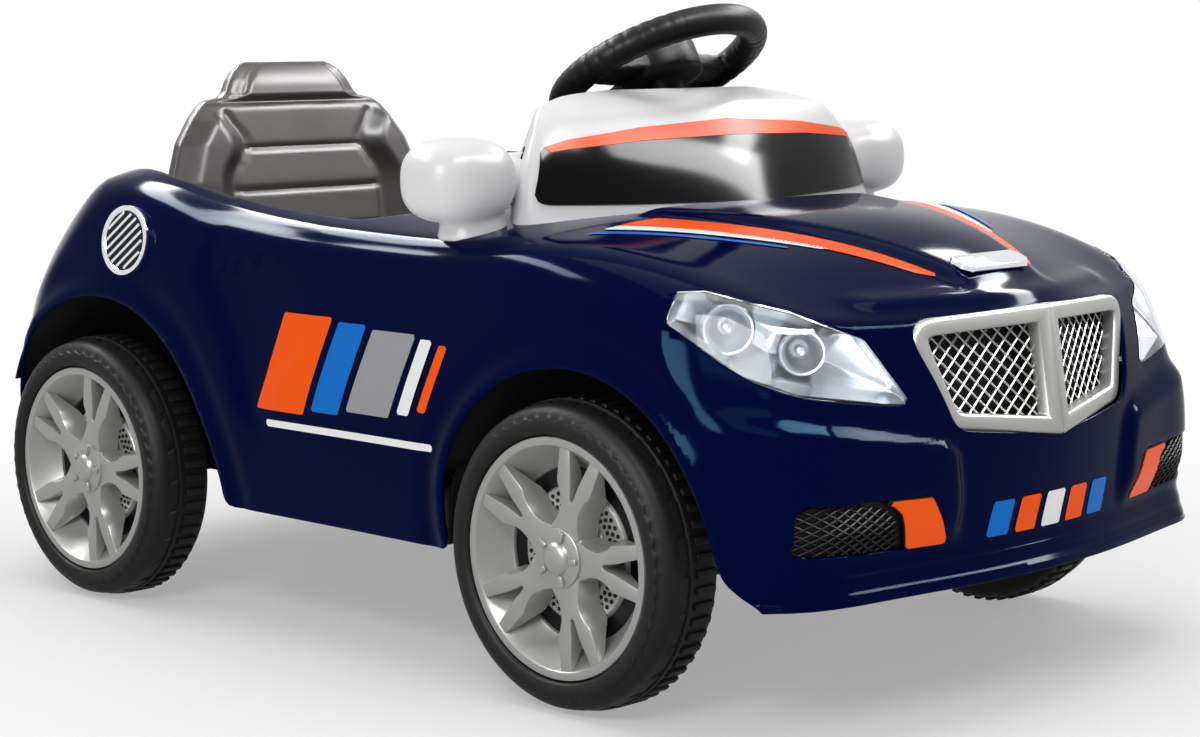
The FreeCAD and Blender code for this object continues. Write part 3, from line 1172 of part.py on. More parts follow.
def make_chassis():
    low = "sill_z"
    thick = "floor_thickness"
    wide = "(door_half_width - sill_tuck - body_wall - running_gap)"
    beam_x = "front_axle_x - beam_depth / 2"
    ear_low = SLEEVE_LOW + " - running_gap - ear"
    ear_top = SLEEVE_TOP + " + running_gap"
    ear_half = "(kingpin_y + beam_overlap)"
    ear_size = ("ear_depth", "2 * " + ear_half, "ear")
    ear_x = "front_axle_x - ear_depth / 2"
    rear_x = "(front_axle_x - wheelbase)"
    pieces = [
        box("floor_middle", ("floor_rear_x", "-" + wide, low),
            ("floor_front_x - floor_rear_x", "2 * " + wide, thick)),
        box("floor_long", ("tray_rear_x", "-floor_half_width", low),
            (beam_x + " - tray_rear_x + beam_depth / 2", "2 * floor_half_width", thick)),
        box("beam_web", (beam_x, "-beam_web_half", ear_low),
            ("beam_depth", "2 * beam_web_half", "knuckle_height + 2 * ear")),
        box("beam_ear_low", (ear_x, "-" + ear_half, ear_low), ear_size),
        box("beam_ear_top", (ear_x, "-" + ear_half, ear_top), ear_size),
        box("front_shelf", ("front_axle_x", "-floor_half_width", ear_top),
            ("tray_front_x - front_axle_x", "2 * floor_half_width", thick)),
    ]
    block = ("2 * block_half_length", "block_outer_y - block_inner_y", "tyre_radius + block_top - sill_z")
    for side, y in (("right", "-block_outer_y"), ("left", "block_inner_y")):
        pieces.append(box("axle_block_" + side, (rear_x + " - block_half_length", y, low), block))
    pivot = "sill_z + floor_thickness + pedal_pivot"
    half_pedal = "(pedal_width / 2 + running_gap)"
    for side, y in (("right", "pedal_y - %s - pedal_lug" % half_pedal), ("left", "pedal_y + " + half_pedal)):
        pieces.append(box("pedal_lug_" + side, ("pedal_x - pedal_sleeve", y, low),
                          ("2 * pedal_sleeve", "pedal_lug", "floor_thickness + pedal_pivot + pedal_sleeve")))
    pieces.append(cylinder("pedal_rod", "pedal_pin", "pedal_width + 2 * running_gap + 2 * pedal_lug",
                           ("pedal_x", "pedal_y - %s - pedal_lug" % half_pedal, pivot), "y"))
    boss = doc.addObject("Part::Cylinder", "column_boss")
    tie(boss, Radius="column_boss_radius", Height="column_boss_length")
    boss.Placement = Placement(column_axis(S.column_boss_drop + S.column_boss_length), COLUMN_TURN)
    pieces.append(boss)
    tunnel = doc.addObject("Part::Cylinder", "column_tunnel")
    tie(tunnel, Radius="column_radius + running_fit", Height="column_length")
    tunnel.Placement = Placement(column_axis(S.column_length), COLUMN_TURN)
    holes = [tunnel, cylinder("axle_hole", "axle_radius", "2 * block_outer_y",
                              (rear_x, "-block_outer_y", "tyre_radius"), "y")]
    room = "knuckle_height + 2 * running_gap"
    for side, sign in (("right", "-"), ("left", "")):
        y = sign + "kingpin_y"
        holes.append(cylinder("kingpin_hole_" + side, "kingpin_radius", room + " + 2 * ear",
                              ("front_axle_x", y, ear_low), "z"))
        holes.append(cylinder("knuckle_room_" + side, "knuckle_radius + ear", room,
                              ("front_axle_x", y, SLEEVE_LOW + " - running_gap"), "z"))
        for place, x in enumerate(SCREW_X):
            holes.append(cylinder("screw_hole_%s_%d" % (side, place), "screw_shank", "floor_thickness",
                                  (x, sign + SCREW_Y, "sill_z"), "z"))
    node("chassis_tray", cut("chassis_tray", fuse("tray_whole", *pieces), *holes))


# Drive.

def gear_wire(teeth, module, turn, at):
    """An involute spur gear's outline; turn points one tooth, in radians."""
    pressure = math.radians(25)
    pitch = teeth * module / 2
    base = pitch * math.cos(pressure)
    tip = pitch + 0.9 * module
    root = pitch - 1.2 * module
    half_pitch = (math.pi * module / 2 - S.gear_backlash) / pitch / 2
    lean = math.tan(pressure) - pressure
    radii = [max(base, root) + share * (tip - max(base, root)) for share in (0, 0.4, 0.75, 1)]
    flank = []
    for radius in radii:
        roll = math.acos(min(1.0, base / radius))
        flank.append((radius, half_pitch + lean - (math.tan(roll) - roll)))
    flank.insert(0, (root, flank[0][1] + 0.1 * module / root))
    points = []
    for tooth in range(int(teeth)):
        middle = turn + 2 * math.pi * tooth / teeth
        side = [(radius, middle - angle) for radius, angle in flank]
        side += [(radius, middle + angle) for radius, angle in reversed(flank)]
        points += [at(radius * math.cos(angle), radius * math.sin(angle)) for radius, angle in side]
    return Part.makePolygon(points + points[:1])


def gear(centre, y, width, teeth, module, turn):
    """A spur gear on an axis across the car, from y along +Y."""
    wire = gear_wire(teeth, module, turn, lambda u, v: Vector(centre.x + u, y, centre.z + v))
    return Part.Face(wire).extrude(ACROSS * width)


def rod(centre, y, length, radius):
    return Part.makeCylinder(radius, length, Vector(centre.x, y, centre.z), ACROSS)


def drive_node(label, shape):
    """A sub-part of the drive, worked out for the right rear wheel and built at the left one."""
    solid_node(label, shape.mirror(MIDDLE, ACROSS))


def make_drive():
    axle = Vector(REAR_AXLE_X, 0, S.tyre_radius)
    reach = S.gear_module * (S.drive_teeth + S.small_teeth) / 2
    near = math.radians(S.reduction_angle)
    layshaft = axle + Vector(math.cos(near), 0, math.sin(near)) * reach
    fine_reach = S.fine_module * (S.large_teeth + S.pinion_teeth) / 2
    up = math.radians(S.motor_angle)
    motor_axis = layshaft + Vector(math.cos(up), 0, math.sin(up)) * fine_reach

    hub_end = -(S.wheel_face_y - S.tyre_width - S.hub_overhang)
    cover_out = hub_end + S.gear_space
    cover_in = cover_out + S.case_wall
    coarse = cover_in + S.gear_space
    fine = coarse + S.gear_width + S.gear_space
    wall_out = fine + S.fine_width + S.gear_space
    wall_in = wall_out + S.case_wall

    drive = gear(axle, coarse, S.gear_width, S.drive_teeth, S.gear_module, near)
    sleeve = rod(axle, hub_end, coarse - hub_end, S.drive_sleeve)
    bore = rod(axle, hub_end, wall_in - hub_end, S.axle_radius + S.running_fit)
    drive_node("drive_gear", drive.fuse(sleeve).cut(bore))

    small = gear(layshaft, coarse, S.gear_width + S.gear_space, S.small_teeth, S.gear_module,
                 near + math.pi + math.pi / S.small_teeth)
    large = gear(layshaft, fine, S.fine_width, S.large_teeth, S.fine_module, up)
    bore = rod(layshaft, coarse, wall_in - coarse, S.gear_pin + S.running_fit)
    drive_node("reduction_gear", small.fuse(large).cut(bore))

    pinion = gear(motor_axis, fine, S.fine_width, S.pinion_teeth, S.fine_module,
                  up + math.pi + math.pi / S.pinion_teeth)
    shaft = rod(motor_axis, fine, wall_in + S.motor_bore - fine, S.motor_shaft)
    drive_node("motor_pinion", pinion.fuse(shaft))
    can = rod(motor_axis, wall_in, S.motor_length, S.motor_radius)
    hole = rod(motor_axis, wall_in, S.motor_bore + S.running_gap, S.motor_shaft + S.running_fit)
    drive_node("motor", can.cut(hole))

    tip = S.gear_module + S.case_margin
    low = Vector(axle.x - S.drive_teeth * S.gear_module / 2 - tip, cover_in,
                 axle.z - S.drive_teeth * S.gear_module / 2 - tip)
    right = layshaft.x + S.large_teeth * S.fine_module / 2 + tip
    top = motor_axis.z + S.motor_radius
    wall = S.case_wall
    whole = Part.makeBox(right - low.x + 2 * wall, wall_in - cover_in, top - low.z + 2 * wall,
                         low - Vector(wall, 0, wall))
    room = Part.makeBox(right - low.x, wall_out - cover_in, top - low.z, low)
    pin = rod(layshaft, cover_in + S.running_gap, wall_out - cover_in - S.running_gap, S.gear_pin)
    holes = [rod(axle, cover_in, wall_in - cover_in, S.spacer_radius),
             rod(motor_axis, cover_in, wall_in - cover_in, S.motor_shaft + S.gear_space)]
    drive_node("gearbox_case", whole.cut([room] + holes).fuse(pin).removeSplitter())
    lid = Part.makeBox(right - low.x + 2 * wall, wall, top - low.z + 2 * wall,
                       Vector(low.x - wall, cover_out, low.z - wall))
    drive_node("gearbox_cover", lid.cut(rod(axle, cover_out, wall, S.drive_sleeve + S.running_gap)))
    make_loom(Vector(motor_axis.x, wall_in + S.motor_length, motor_axis.z))


def make_loom(motor_end):
    """The loom from the back of the motor, along the floor, to the control box."""
    radius = S.loom_radius
    floor = S.sill_z + S.floor_thickness + radius
    lane = motor_end.y + 2 * S.loom_bend
    box_front = S.control_rear_x + S.control_length
    points = [motor_end, Vector(motor_end.x, lane, motor_end.z), Vector(motor_end.x, lane, floor),
              Vector(box_front, lane, floor)]
    edges = []
    last = points[0]
    for before, corner, after in zip(points, points[1:], points[2:]):
        back = (before - corner).normalize()
        ahead = (after - corner).normalize()
        start, end = corner + back * S.loom_bend, corner + ahead * S.loom_bend
        middle = corner + (back + ahead) * S.loom_bend * (1 - math.sqrt(0.5))
        edges.append(Part.LineSegment(last, start).toShape())
        edges.append(Part.Arc(start, middle, end).toShape())
        last = end
    edges.append(Part.LineSegment(last, points[-1]).toShape())
    path = Part.Wire(edges)
    ring = Part.Wire([Part.makeCircle(radius, points[0], ACROSS)])
    tube = path.makePipeShell([ring], True, False)
    print("loom volume over section times length:", tube.Volume / (math.pi * radius ** 2 * path.Length))
    drive_node("wiring_loom", tube)


def make_power():
    floor = "sill_z + floor_thickness"
    node("battery", box("battery_block", ("battery_rear_x", "-battery_width / 2", floor),
                        ("battery_length", "battery_width", "battery_height")))
    middle = "battery_rear_x + battery_length / 2 - strap_width / 2"
    over = box("strap_over", (middle, "-battery_width / 2 - strap", floor),
               ("strap_width", "battery_width + 2 * strap", "battery_height + strap"))
    feet = box("strap_feet", (middle, "-battery_width / 2 - strap_foot", floor),
               ("strap_width", "battery_width + 2 * strap_foot", "strap"))
    inside = box("strap_inside", (middle, "-battery_width / 2", floor),
                 ("strap_width", "battery_width", "battery_height"))
    node("battery_strap", cut("strap_loop", fuse("strap_whole", over, feet), inside))
    node("control_box", box("control_case", ("control_rear_x", "-control_width / 2", floor),
                            ("control_length", "control_width", "control_height")))


# Controls.

def make_pedal():
    flat = box("pedal_flat", ("0", "-pedal_width / 2", "-pedal_plate / 2"),
               ("pedal_length", "pedal_width", "pedal_plate"))
    sleeve = cylinder("pedal_tube", "pedal_sleeve", "pedal_width", ("0", "-pedal_width / 2", "0"), "y")
    bore = cylinder("pedal_bore", "pedal_pin + running_fit", "pedal_width",
                    ("0", "-pedal_width / 2", "0"), "y")
    pedal = cut("pedal_whole", fuse("pedal_blank", flat, sleeve), bore)
    place = Vector(S.pedal_x, S.pedal_y, S.sill_z + S.floor_thickness + S.pedal_pivot)
    pedal.Placement = Placement(place, Rotation(ACROSS, -S.pedal_angle))
    node("pedal", pedal)


def make_dash_controls():
    x = "dash_x + dash_panel + lever_disc"
    low = "lever_y - lever_width / 2"
    disc = cylinder("lever_wheel", "lever_disc", "lever_width", (x, low, "control_z"), "y")
    bar = box("lever_bar", ("dash_x - lever_length", low, "control_z - lever_width / 2"),
              ("lever_length + dash_panel + lever_disc", "lever_width", "lever_width"))
    knob = cylinder("lever_grip", "lever_knob", "lever_width + lever_knob",
                    ("dash_x - lever_length", "lever_y - (lever_width + lever_knob) / 2", "control_z"), "y")
    eye = cylinder("lever_eye", "lever_pin + running_fit", "lever_width", (x, low, "control_z"), "y")
    node("direction_lever", cut("lever", fuse("lever_whole", disc, bar, knob), eye))
    node("power_button", cylinder("button", "button_radius", "button_height + dash_panel",
                                  ("dash_x - button_height + button_travel", "button_y", "control_z"), "x"))
    case = cylinder("socket_case", "socket_radius", "socket_length", ("dash_x", "socket_y", "control_z"), "x")
    bore = cylinder("socket_hole", "socket_bore", "socket_depth", ("dash_x", "socket_y", "control_z"), "x")
    node("charging_socket", cut("socket", case, bore))


def make_screws():
    screws = []
    for place, x in enumerate(SCREW_X):
        for side, sign in (("right", "-"), ("left", "")):
            name = "%s_%d" % (side, place)
            head = cylinder("screw_head_" + name, "screw_radius", "screw_height",
                            (x, sign + SCREW_Y, "sill_z - screw_height"), "z")
            shank = cylinder("screw_shank_" + name, "screw_shank", "screw_length",
                             (x, sign + SCREW_Y, "sill_z"), "z")
            screws.append(fuse("screw_" + name, head, shank))
    node("body_screws", group("screws", *screws))


def export():
    """Check every object, then write each sub-part to its own file."""
    doc.recompute()
    failed = [thing.Name for thing in doc.Objects if {"Invalid", "Error"} & set(thing.State)]
    if failed:
        raise RuntimeError("failed objects: " + ", ".join(failed))
    for label, thing in NODES.items():
        if thing.Shape.isNull() or not thing.Shape.isValid() or not thing.Shape.Solids:
            raise RuntimeError("bad shape: " + label)
    for label, thing in NODES.items():
        thing.Shape.exportStep("parts/%s.step" % label)
    print(len(NODES), "sub-parts written")


make_body_shell()
make_lamps()
make_grille()
make_body_trim()
make_cowl()
make_wheels()
make_rear_axle()
make_suspension()
make_tie_rod()
make_steering()
make_seat()
make_chassis()
make_drive()
make_power()
make_pedal()
make_dash_controls()
make_screws()
export()
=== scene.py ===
"""Looks of an electric ride-on car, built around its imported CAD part."""

import functools
import math

import bmesh
import bpy
import numpy as np
from mathutils import Matrix, Vector
from mathutils.bvhtree import BVHTree


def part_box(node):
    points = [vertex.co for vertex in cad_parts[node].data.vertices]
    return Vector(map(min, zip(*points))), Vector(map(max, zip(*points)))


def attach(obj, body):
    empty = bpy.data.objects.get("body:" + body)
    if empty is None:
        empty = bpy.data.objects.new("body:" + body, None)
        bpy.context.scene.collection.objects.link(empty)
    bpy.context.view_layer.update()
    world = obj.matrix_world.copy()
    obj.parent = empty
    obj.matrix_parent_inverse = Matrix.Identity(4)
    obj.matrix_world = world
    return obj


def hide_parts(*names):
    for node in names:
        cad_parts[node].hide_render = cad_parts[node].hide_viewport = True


bl_info = {
    "name": "Ride-on car looks",
    "version": (1, 0, 0),
    "blender": (4, 5, 0),
    "location": "View3D > Sidebar > Ride-on",
    "description": "Models and finishes the visible pieces of an electric ride-on car",
    "category": "Object",
}

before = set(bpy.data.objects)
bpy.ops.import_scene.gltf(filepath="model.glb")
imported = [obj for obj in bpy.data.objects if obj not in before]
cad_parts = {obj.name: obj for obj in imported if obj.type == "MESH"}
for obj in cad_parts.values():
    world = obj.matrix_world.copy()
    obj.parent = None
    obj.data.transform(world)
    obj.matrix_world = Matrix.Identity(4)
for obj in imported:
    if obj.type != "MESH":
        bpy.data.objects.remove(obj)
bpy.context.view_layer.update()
MM = 0.001


def linear(code):
    """Linear colour of an sRGB hex code."""
    parts = [int(code[k:k + 2], 16) / 255 for k in (0, 2, 4)]
    return tuple(c / 12.92 if c <= 0.04045 else ((c + 0.055) / 1.055) ** 2.4 for c in parts)


def colour(name, description, code):
    return bpy.props.FloatVectorProperty(
        name=name, description=description, default=linear(code), size=3, min=0, max=1, subtype="COLOR")


def length(name, description, default):
    return bpy.props.FloatProperty(
        name=name, description=description, default=default * MM, min=0, unit="LENGTH")


class RideOnColours(bpy.types.PropertyGroup):
    """Colours of the finishes."""

    paint: colour("Paint", "Gloss colour of the body", "010732")
    white: colour("White plastic", "Colour of the cowl and the mirror pods", "E2E2E3")
    seat: colour("Seat plastic", "Colour of the moulded seat", "4C4746")
    black: colour("Black plastic", "Colour of the steering wheel, the fog grilles and the liners", "141416")
    silver: colour("Silver plastic", "Colour of the wheel trims and the grille frame", "939491")
    orange: colour("Orange", "Colour of the accents and the main stripes", "FF5A0A")
    blue: colour("Blue", "Colour of the second stripes", "0B6FCB")
    grey: colour("Grey", "Colour of the third stripes", "9A9A9C")


class RideOnSizes(bpy.types.PropertyGroup):
    """Sizes of what the scene adds."""

    step: length("Step", "Spacing of the body's mesh", 5.5)
    wall: length("Wall", "Thickness of the body's wall", 3.5)
    seam: length("Seam", "Gap around each headlamp lens", 0.5)
    film: length("Film", "Thickness of the stripes' film", 0.6)


def sizes():
    return bpy.context.scene.ride_on_sizes


def colours():
    return bpy.context.scene.ride_on_colours


# Materials.

def add_node(tree, kind, **values):
    """One shader node with its sockets and settings set by name."""
    node = tree.nodes.new(kind)
    for key, value in values.items():
        socket = node.inputs.get(key.replace("__", " "))
        if socket is not None:
            socket.default_value = value
        else:
            setattr(node, key, value)
    return node


def reckon(tree, operation, *given):
    """The result of a math node fed with sockets and numbers."""
    node = add_node(tree, "ShaderNodeMath", operation=operation)
    for socket, value in zip(node.inputs, given):
        if isinstance(value, bpy.types.NodeSocket):
            tree.links.new(value, socket)
        else:
            socket.default_value = value
    return node.outputs[0]


def ranged(tree, value, low, high, **settings):
    """A value mapped to run from low to high."""
    node = add_node(tree, "ShaderNodeMapRange", To__Min=low, To__Max=high, **settings)
    tree.links.new(value, node.inputs["Value"])
    return node.outputs["Result"]


def noise(tree, where, size, detail=2.0):
    """Noise whose blotches have a size in millimetres."""
    node = add_node(tree, "ShaderNodeTexNoise", Scale=1 / (size * MM), Detail=detail)
    tree.links.new(where.outputs["Object"], node.inputs["Vector"])
    return node.outputs["Fac"]


def shaded(tree, share, first, second):
    """A colour that runs from one tint to another."""
    node = add_node(tree, "ShaderNodeMix", data_type="RGBA")
    node.inputs[6].default_value, node.inputs[7].default_value = (*first, 1), (*second, 1)
    tree.links.new(share, node.inputs[0])
    return node.outputs[2]


def material(name, tint, rough, metal=0.0, spread=0.06, grain=3.0, bump=0.0, blotch=60.0, **shader):
    """A moulded or metal finish: broad mottling, a roughness that varies and a fine grain."""
    found = bpy.data.materials.get(name)
    if found:
        return found
    made = bpy.data.materials.new(name)
    made.use_nodes = True
    tree = made.node_tree
    link = tree.links.new
    surface = tree.nodes["Principled BSDF"]
    surface.inputs["Metallic"].default_value = metal
    for key, value in shader.items():
        surface.inputs[key.replace("__", " ")].default_value = value
    where = add_node(tree, "ShaderNodeTexCoord")
    dark, pale = ([min(1, c * (1 + side * spread)) for c in tint] for side in (-1, 1))
    link(shaded(tree, noise(tree, where, blotch, 3.0), dark, pale), surface.inputs["Base Color"])
    fine = noise(tree, where, grain)
    link(ranged(tree, fine, rough * 0.85, min(1, rough * 1.15)), surface.inputs["Roughness"])
    if bump:
        relief = add_node(tree, "ShaderNodeBump", Strength=0.6, Distance=bump * MM)
        link(fine, relief.inputs["Height"])
        link(relief.outputs["Normal"], surface.inputs["Normal"])
    return made


def paint():
    """Deep gloss paint: dark blue that mirrors the lamps in broad streaks."""
    return material("gloss_navy_paint", colours().paint, 0.09, blotch=300.0, grain=14.0, bump=0.006,
                    Specular__IOR__Level=0.022, Specular__Tint=(0.22, 0.62, 1, 1))


def white_plastic():
    """Glossy white moulding: bright, with soft shading and clean highlights."""
    return material("white_moulded_plastic", colours().white, 0.3, spread=0.02, Subsurface__Weight=0.15,
                    Subsurface__Radius=(0.004, 0.004, 0.004), Subsurface__Scale=1.0, Specular__IOR__Level=0.1)


def screen_black():
    """Polished black film with soft reflections, so that it reads as a dark windscreen."""
    return material("gloss_black_film", linear("08080A"), 0.12, Specular__IOR__Level=0.06)


def seat_plastic():
    """Satin taupe moulding with a fine leather-like grain, with painted light on the waisted panel and
    painted shade outside it.
    """
    name = "seat_moulded_plastic"
    if name in bpy.data.materials:
        return bpy.data.materials[name]
    made = material(name, colours().seat, 0.34, spread=0.1, grain=1.6, bump=0.1, blotch=40.0,
                    Specular__IOR__Level=0.22)
    tree = made.node_tree
    link = tree.links.new
    surface = tree.nodes["Principled BSDF"]
    under = surface.inputs["Base Color"].links[0].from_socket
    axes = add_node(tree, "ShaderNodeSeparateXYZ")
    link(add_node(tree, "ShaderNodeTexCoord").outputs["Object"], axes.inputs[0])
    up = reckon(tree, "MULTIPLY_ADD", axes.outputs["Z"], 1 / (PANEL_TALL * MM), -PANEL_WAIST / PANEL_TALL)
    pinch = reckon(tree, "POWER", 1 / math.e, reckon(tree, "MULTIPLY", up, up))
    waist = reckon(tree, "MULTIPLY_ADD", pinch, -PANEL_PINCH * MM, PANEL_HALF * MM)
    gap = reckon(tree, "SUBTRACT", reckon(tree, "ABSOLUTE", axes.outputs["Y"]), waist)
    # Painted light and shade: the colour is brightened inside the waisted panel and darkened outside it.
    panel_light_and_shade = add_node(tree, "ShaderNodeVectorMath", operation="SCALE")
    link(under, panel_light_and_shade.inputs[0])
    link(ranged(tree, gap, 1.25, 0.7, From__Min=-0.004, From__Max=0.004), panel_light_and_shade.inputs["Scale"])
    link(panel_light_and_shade.outputs[0], surface.inputs["Base Color"])
    return made


def black_plastic():
    """Satin black moulding whose fine grain breaks up the highlights."""
    return material("black_moulded_plastic", colours().black, 0.42, grain=1.2, bump=0.06,
                    Specular__IOR__Level=0.08)


def tyre_plastic():
    """Hard black tyre plastic, duller than the rest, with faint mottling."""
    return material("hard_tyre_plastic", linear("1E1E1D"), 0.5, spread=0.2, grain=2.2, bump=0.1,
                    Specular__IOR__Level=0.08)


def trim_plastic():
    """Silver-grey paint on plastic: pale and satin, with a slight metal sheen."""
    return material("silver_trim_plastic", colours().silver, 0.36, metal=0.25, grain=0.8, bump=0.02)


def silver_plastic():
    """Satin silver of the grille and the horn button, with a fine grain."""
    return material("satin_silver_plastic", colours().silver, 0.38, metal=0.55, grain=0.9, bump=0.05)


def chrome():
    """Vacuum chrome: a bright mirror with the faint waviness of plated plastic."""
    return material("chromed_plastic", linear("DADDE0"), 0.07, metal=1.0, spread=0.03, grain=9.0, bump=0.03)


def reflector_plate():
    """Plated lamp bowl: pale and bright, its mirror softened by the mould's texture."""
    return material("plated_reflector", linear("E4E7EA"), 0.22, metal=0.9, spread=0.03, grain=4.0, bump=0.03)


def lens():
    """Clear moulded lens: see-through and very smooth."""
    return material("clear_lens_plastic", linear("F4F7FA"), 0.03, spread=0.02, grain=20.0, bump=0.01,
                    Transmission__Weight=1.0, IOR=1.3)


def orange_plastic():
    """Glossy orange insert."""
    return material("orange_insert", colours().orange, 0.3, spread=0.03, Specular__IOR__Level=0.08)


def lamp_red():
    """Deep red lens with a clean gloss."""
    return material("red_lens_plastic", linear("8C0A10"), 0.14, Specular__IOR__Level=0.2)


def mirror_plate():
    """Plated sheet that mirrors what is behind the car."""
    return material("plated_sheet", linear("E2E5E8"), 0.03, metal=1.0, spread=0.02)


def steel():
    """Zinc-plated steel: grey metal with soft blotches."""
    return material("plated_steel", linear("9EA1A4"), 0.3, metal=1.0, spread=0.12, grain=1.5, bump=0.03)


def gear_nylon():
    """Off-white nylon, waxy and matt."""
    return material("waxy_gear_nylon", linear("E3DFD0"), 0.45, spread=0.05, Subsurface__Weight=0.1,
                    Subsurface__Radius=(0.003, 0.003, 0.003))


def battery_case():
    """Dark grey battery case with a coarse grain."""
    return material("grained_battery_case", linear("2A2C30"), 0.55, spread=0.1, grain=1.0, bump=0.08)


def cable():
    """Soft red cable sheath."""
    return material("cable_sheath", linear("8E1A1A"), 0.5, grain=1.0)


def stripe(name, tint):
    """Printed film: flat colour with a soft gloss."""
    return material(name, tint, 0.25, spread=0.03, blotch=25.0, Specular__IOR__Level=0.05)


# Mesh helpers.

def activate(piece):
    bpy.ops.object.select_all(action="DESELECT")
    piece.select_set(True)
    bpy.context.view_layer.objects.active = piece
    return piece


def from_points(name, points, faces, edges=()):
    """A mesh object from points in millimetres."""
    mesh = bpy.data.meshes.new(name)
    mesh.from_pydata([tuple(c * MM for c in p) for p in points], list(edges), faces)
    piece = bpy.data.objects.new(name, mesh)
    bpy.context.scene.collection.objects.link(piece)
    return activate(piece)


def grab(name):
    """The object that a primitive has just added, named."""
    piece = bpy.context.view_layer.objects.active
    piece.name = name
    piece.data.name = name
    return piece


def edit(*steps):
    """Run edit-mode steps on the whole of the active mesh."""
    bpy.ops.object.mode_set(mode="EDIT")
    bpy.ops.mesh.select_all(action="SELECT")
    for step, settings in steps:
        step(**settings)
    bpy.ops.object.mode_set(mode="OBJECT")


def modify(piece, kind, **settings):
    """Add a modifier and apply it."""
    activate(piece)
    extra = piece.modifiers.new(kind, kind)
    for key, value in settings.items():
        setattr(extra, key, value)
    bpy.ops.object.modifier_apply(modifier=extra.name)
    return piece


def thicken(piece, thick, offset=-1.0, **settings):
    """Give a surface a wall in millimetres, inward unless offset says otherwise."""
    return modify(piece, "SOLIDIFY", thickness=thick * MM, offset=offset, **settings)


def soften(piece, width, segments, angle):
    """Round the edges that turn by more than an angle."""
    return modify(piece, "BEVEL", width=width * MM, segments=segments, limit_method="ANGLE",
                  angle_limit=math.radians(angle))


def chamfer(piece, offset, segments=2):
    """Round every edge."""
    activate(piece)
    edit((bpy.ops.mesh.bevel, {"offset": offset * MM, "segments": segments, "affect": "EDGES"}))
    return piece


def move_mesh(piece, matrix):
    piece.data.transform(matrix)
    piece.data.update()
    return piece


def moved(x, y, z):
    """A shift in millimetres."""
    return Matrix.Translation(Vector((x, y, z)) * MM)


def turned(degrees, axis):
    return Matrix.Rotation(math.radians(degrees), 4, axis)


def outward(piece):
    """Merge what meets and turn the faces outward."""
    activate(piece)
    edit((bpy.ops.mesh.remove_doubles, {"threshold": 1e-6}),
         (bpy.ops.mesh.normals_make_consistent, {"inside": False}))
    return piece


def join(name, *pieces):
    bpy.ops.object.select_all(action="DESELECT")
    for piece in pieces:
        piece.select_set(True)
    bpy.context.view_layer.objects.active = pieces[0]
    if len(pieces) > 1:
        bpy.ops.object.join()
    return grab(name)


def copy_piece(piece, name, matrix):
    other = bpy.data.objects.new(name, piece.data.copy())
    other.data.name = name
    bpy.context.scene.collection.objects.link(other)
    return move_mesh(other, matrix)


def mirror_piece(piece, name):
    """A copy on the car's other side."""
    other = copy_piece(piece, name, Matrix.Scale(-1, 4, (0, 1, 0)))
    activate(other)
    edit((bpy.ops.mesh.flip_normals, {}))
    return other


def done(piece, body, finish, nodes=(), angle=40):
    """Shade a piece, give it its material and tie it to the frame."""
    activate(piece)
    bpy.ops.object.shade_smooth_by_angle(angle=math.radians(angle))
    if not piece.data.materials:
        piece.data.materials.append(finish)
    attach(piece, body)
    if nodes:
        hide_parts(*nodes)
    return piece


def lathe(name, profile, steps=96, closed=True):
    """Spin a profile of (radius, depth) about the wheel's axis."""
    points = [(r, d, 0) for r, d in profile]
    edges = [(k, k + 1) for k in range(len(points) - 1)]
    if closed:
        edges.append((len(points) - 1, 0))
    piece = from_points(name, points, [], edges)
    spin_round(steps, 360)
    return outward(piece)


def spin_round(steps, degrees, dupli=False):
    """Spin the active mesh about the axis across the car."""
    edit((bpy.ops.mesh.spin, {"steps": steps, "angle": math.radians(degrees), "dupli": dupli,
                              "center": (0, 0, 0), "axis": (0, 1, 0)}))


def spread_round(piece, count):
    """Repeat a mesh around the wheel's axis."""
    activate(piece)
    spin_round(count, 360, dupli=True)
    edit((bpy.ops.mesh.remove_doubles, {"threshold": 1e-6}))
    return piece


def block(name, size, centre, bevel=0.0):
    """A cube primitive sized, placed and rounded, in millimetres."""
    bpy.ops.mesh.primitive_cube_add(size=1)
    piece = move_mesh(grab(name), moved(*centre) @ Matrix.Diagonal((*[s * MM for s in size], 1)))
    return chamfer(piece, bevel) if bevel else piece


def cylinder(name, radius, depth, place, vertices=64):
    """A cylinder primitive in millimetres, set in place by a matrix."""
    bpy.ops.mesh.primitive_cylinder_add(vertices=vertices, radius=radius * MM, depth=depth * MM)
    return move_mesh(grab(name), place)


def polygon(name, corners):
    """A filled polygon primitive with its corners in millimetres."""
    bpy.ops.mesh.primitive_circle_add(vertices=len(corners), fill_type="NGON")
    piece = grab(name)
    for vertex, corner in zip(piece.data.vertices, corners):
        vertex.co = Vector(corner) * MM
    return activate(piece)


def extrude(x, y, z):
    """The edit-mode step that extrudes by millimetres."""
    shift = {"value": (x * MM, y * MM, z * MM)}
    return bpy.ops.mesh.extrude_region_move, {"TRANSFORM_OT_translate": shift}


def bisect(place, normal, **settings):
    """The edit-mode step that cuts a mesh at a plane, placed in millimetres."""
    return bpy.ops.mesh.bisect, {"plane_co": tuple(c * MM for c in place), "plane_no": normal, **settings}


def plate(name, corners, deep, bevel=0.0):
    """A polygon extruded along deep and rounded."""
    piece = polygon(name, corners)
    edit(extrude(*deep))
    outward(piece)
    return chamfer(piece, bevel) if bevel else piece


def quads_of(ids):
    """Quads between the neighbours in a table of point numbers."""
    corners = ids[:-1, :-1], ids[1:, :-1], ids[1:, 1:], ids[:-1, 1:]
    return np.stack([part.ravel() for part in corners], 1)


def tube_quads(ids):
    """Quads of a table of point numbers whose rows close on themselves."""
    return quads_of(np.column_stack([ids, ids[:, 0]]))[:, FLIPPED]


# Body surface.

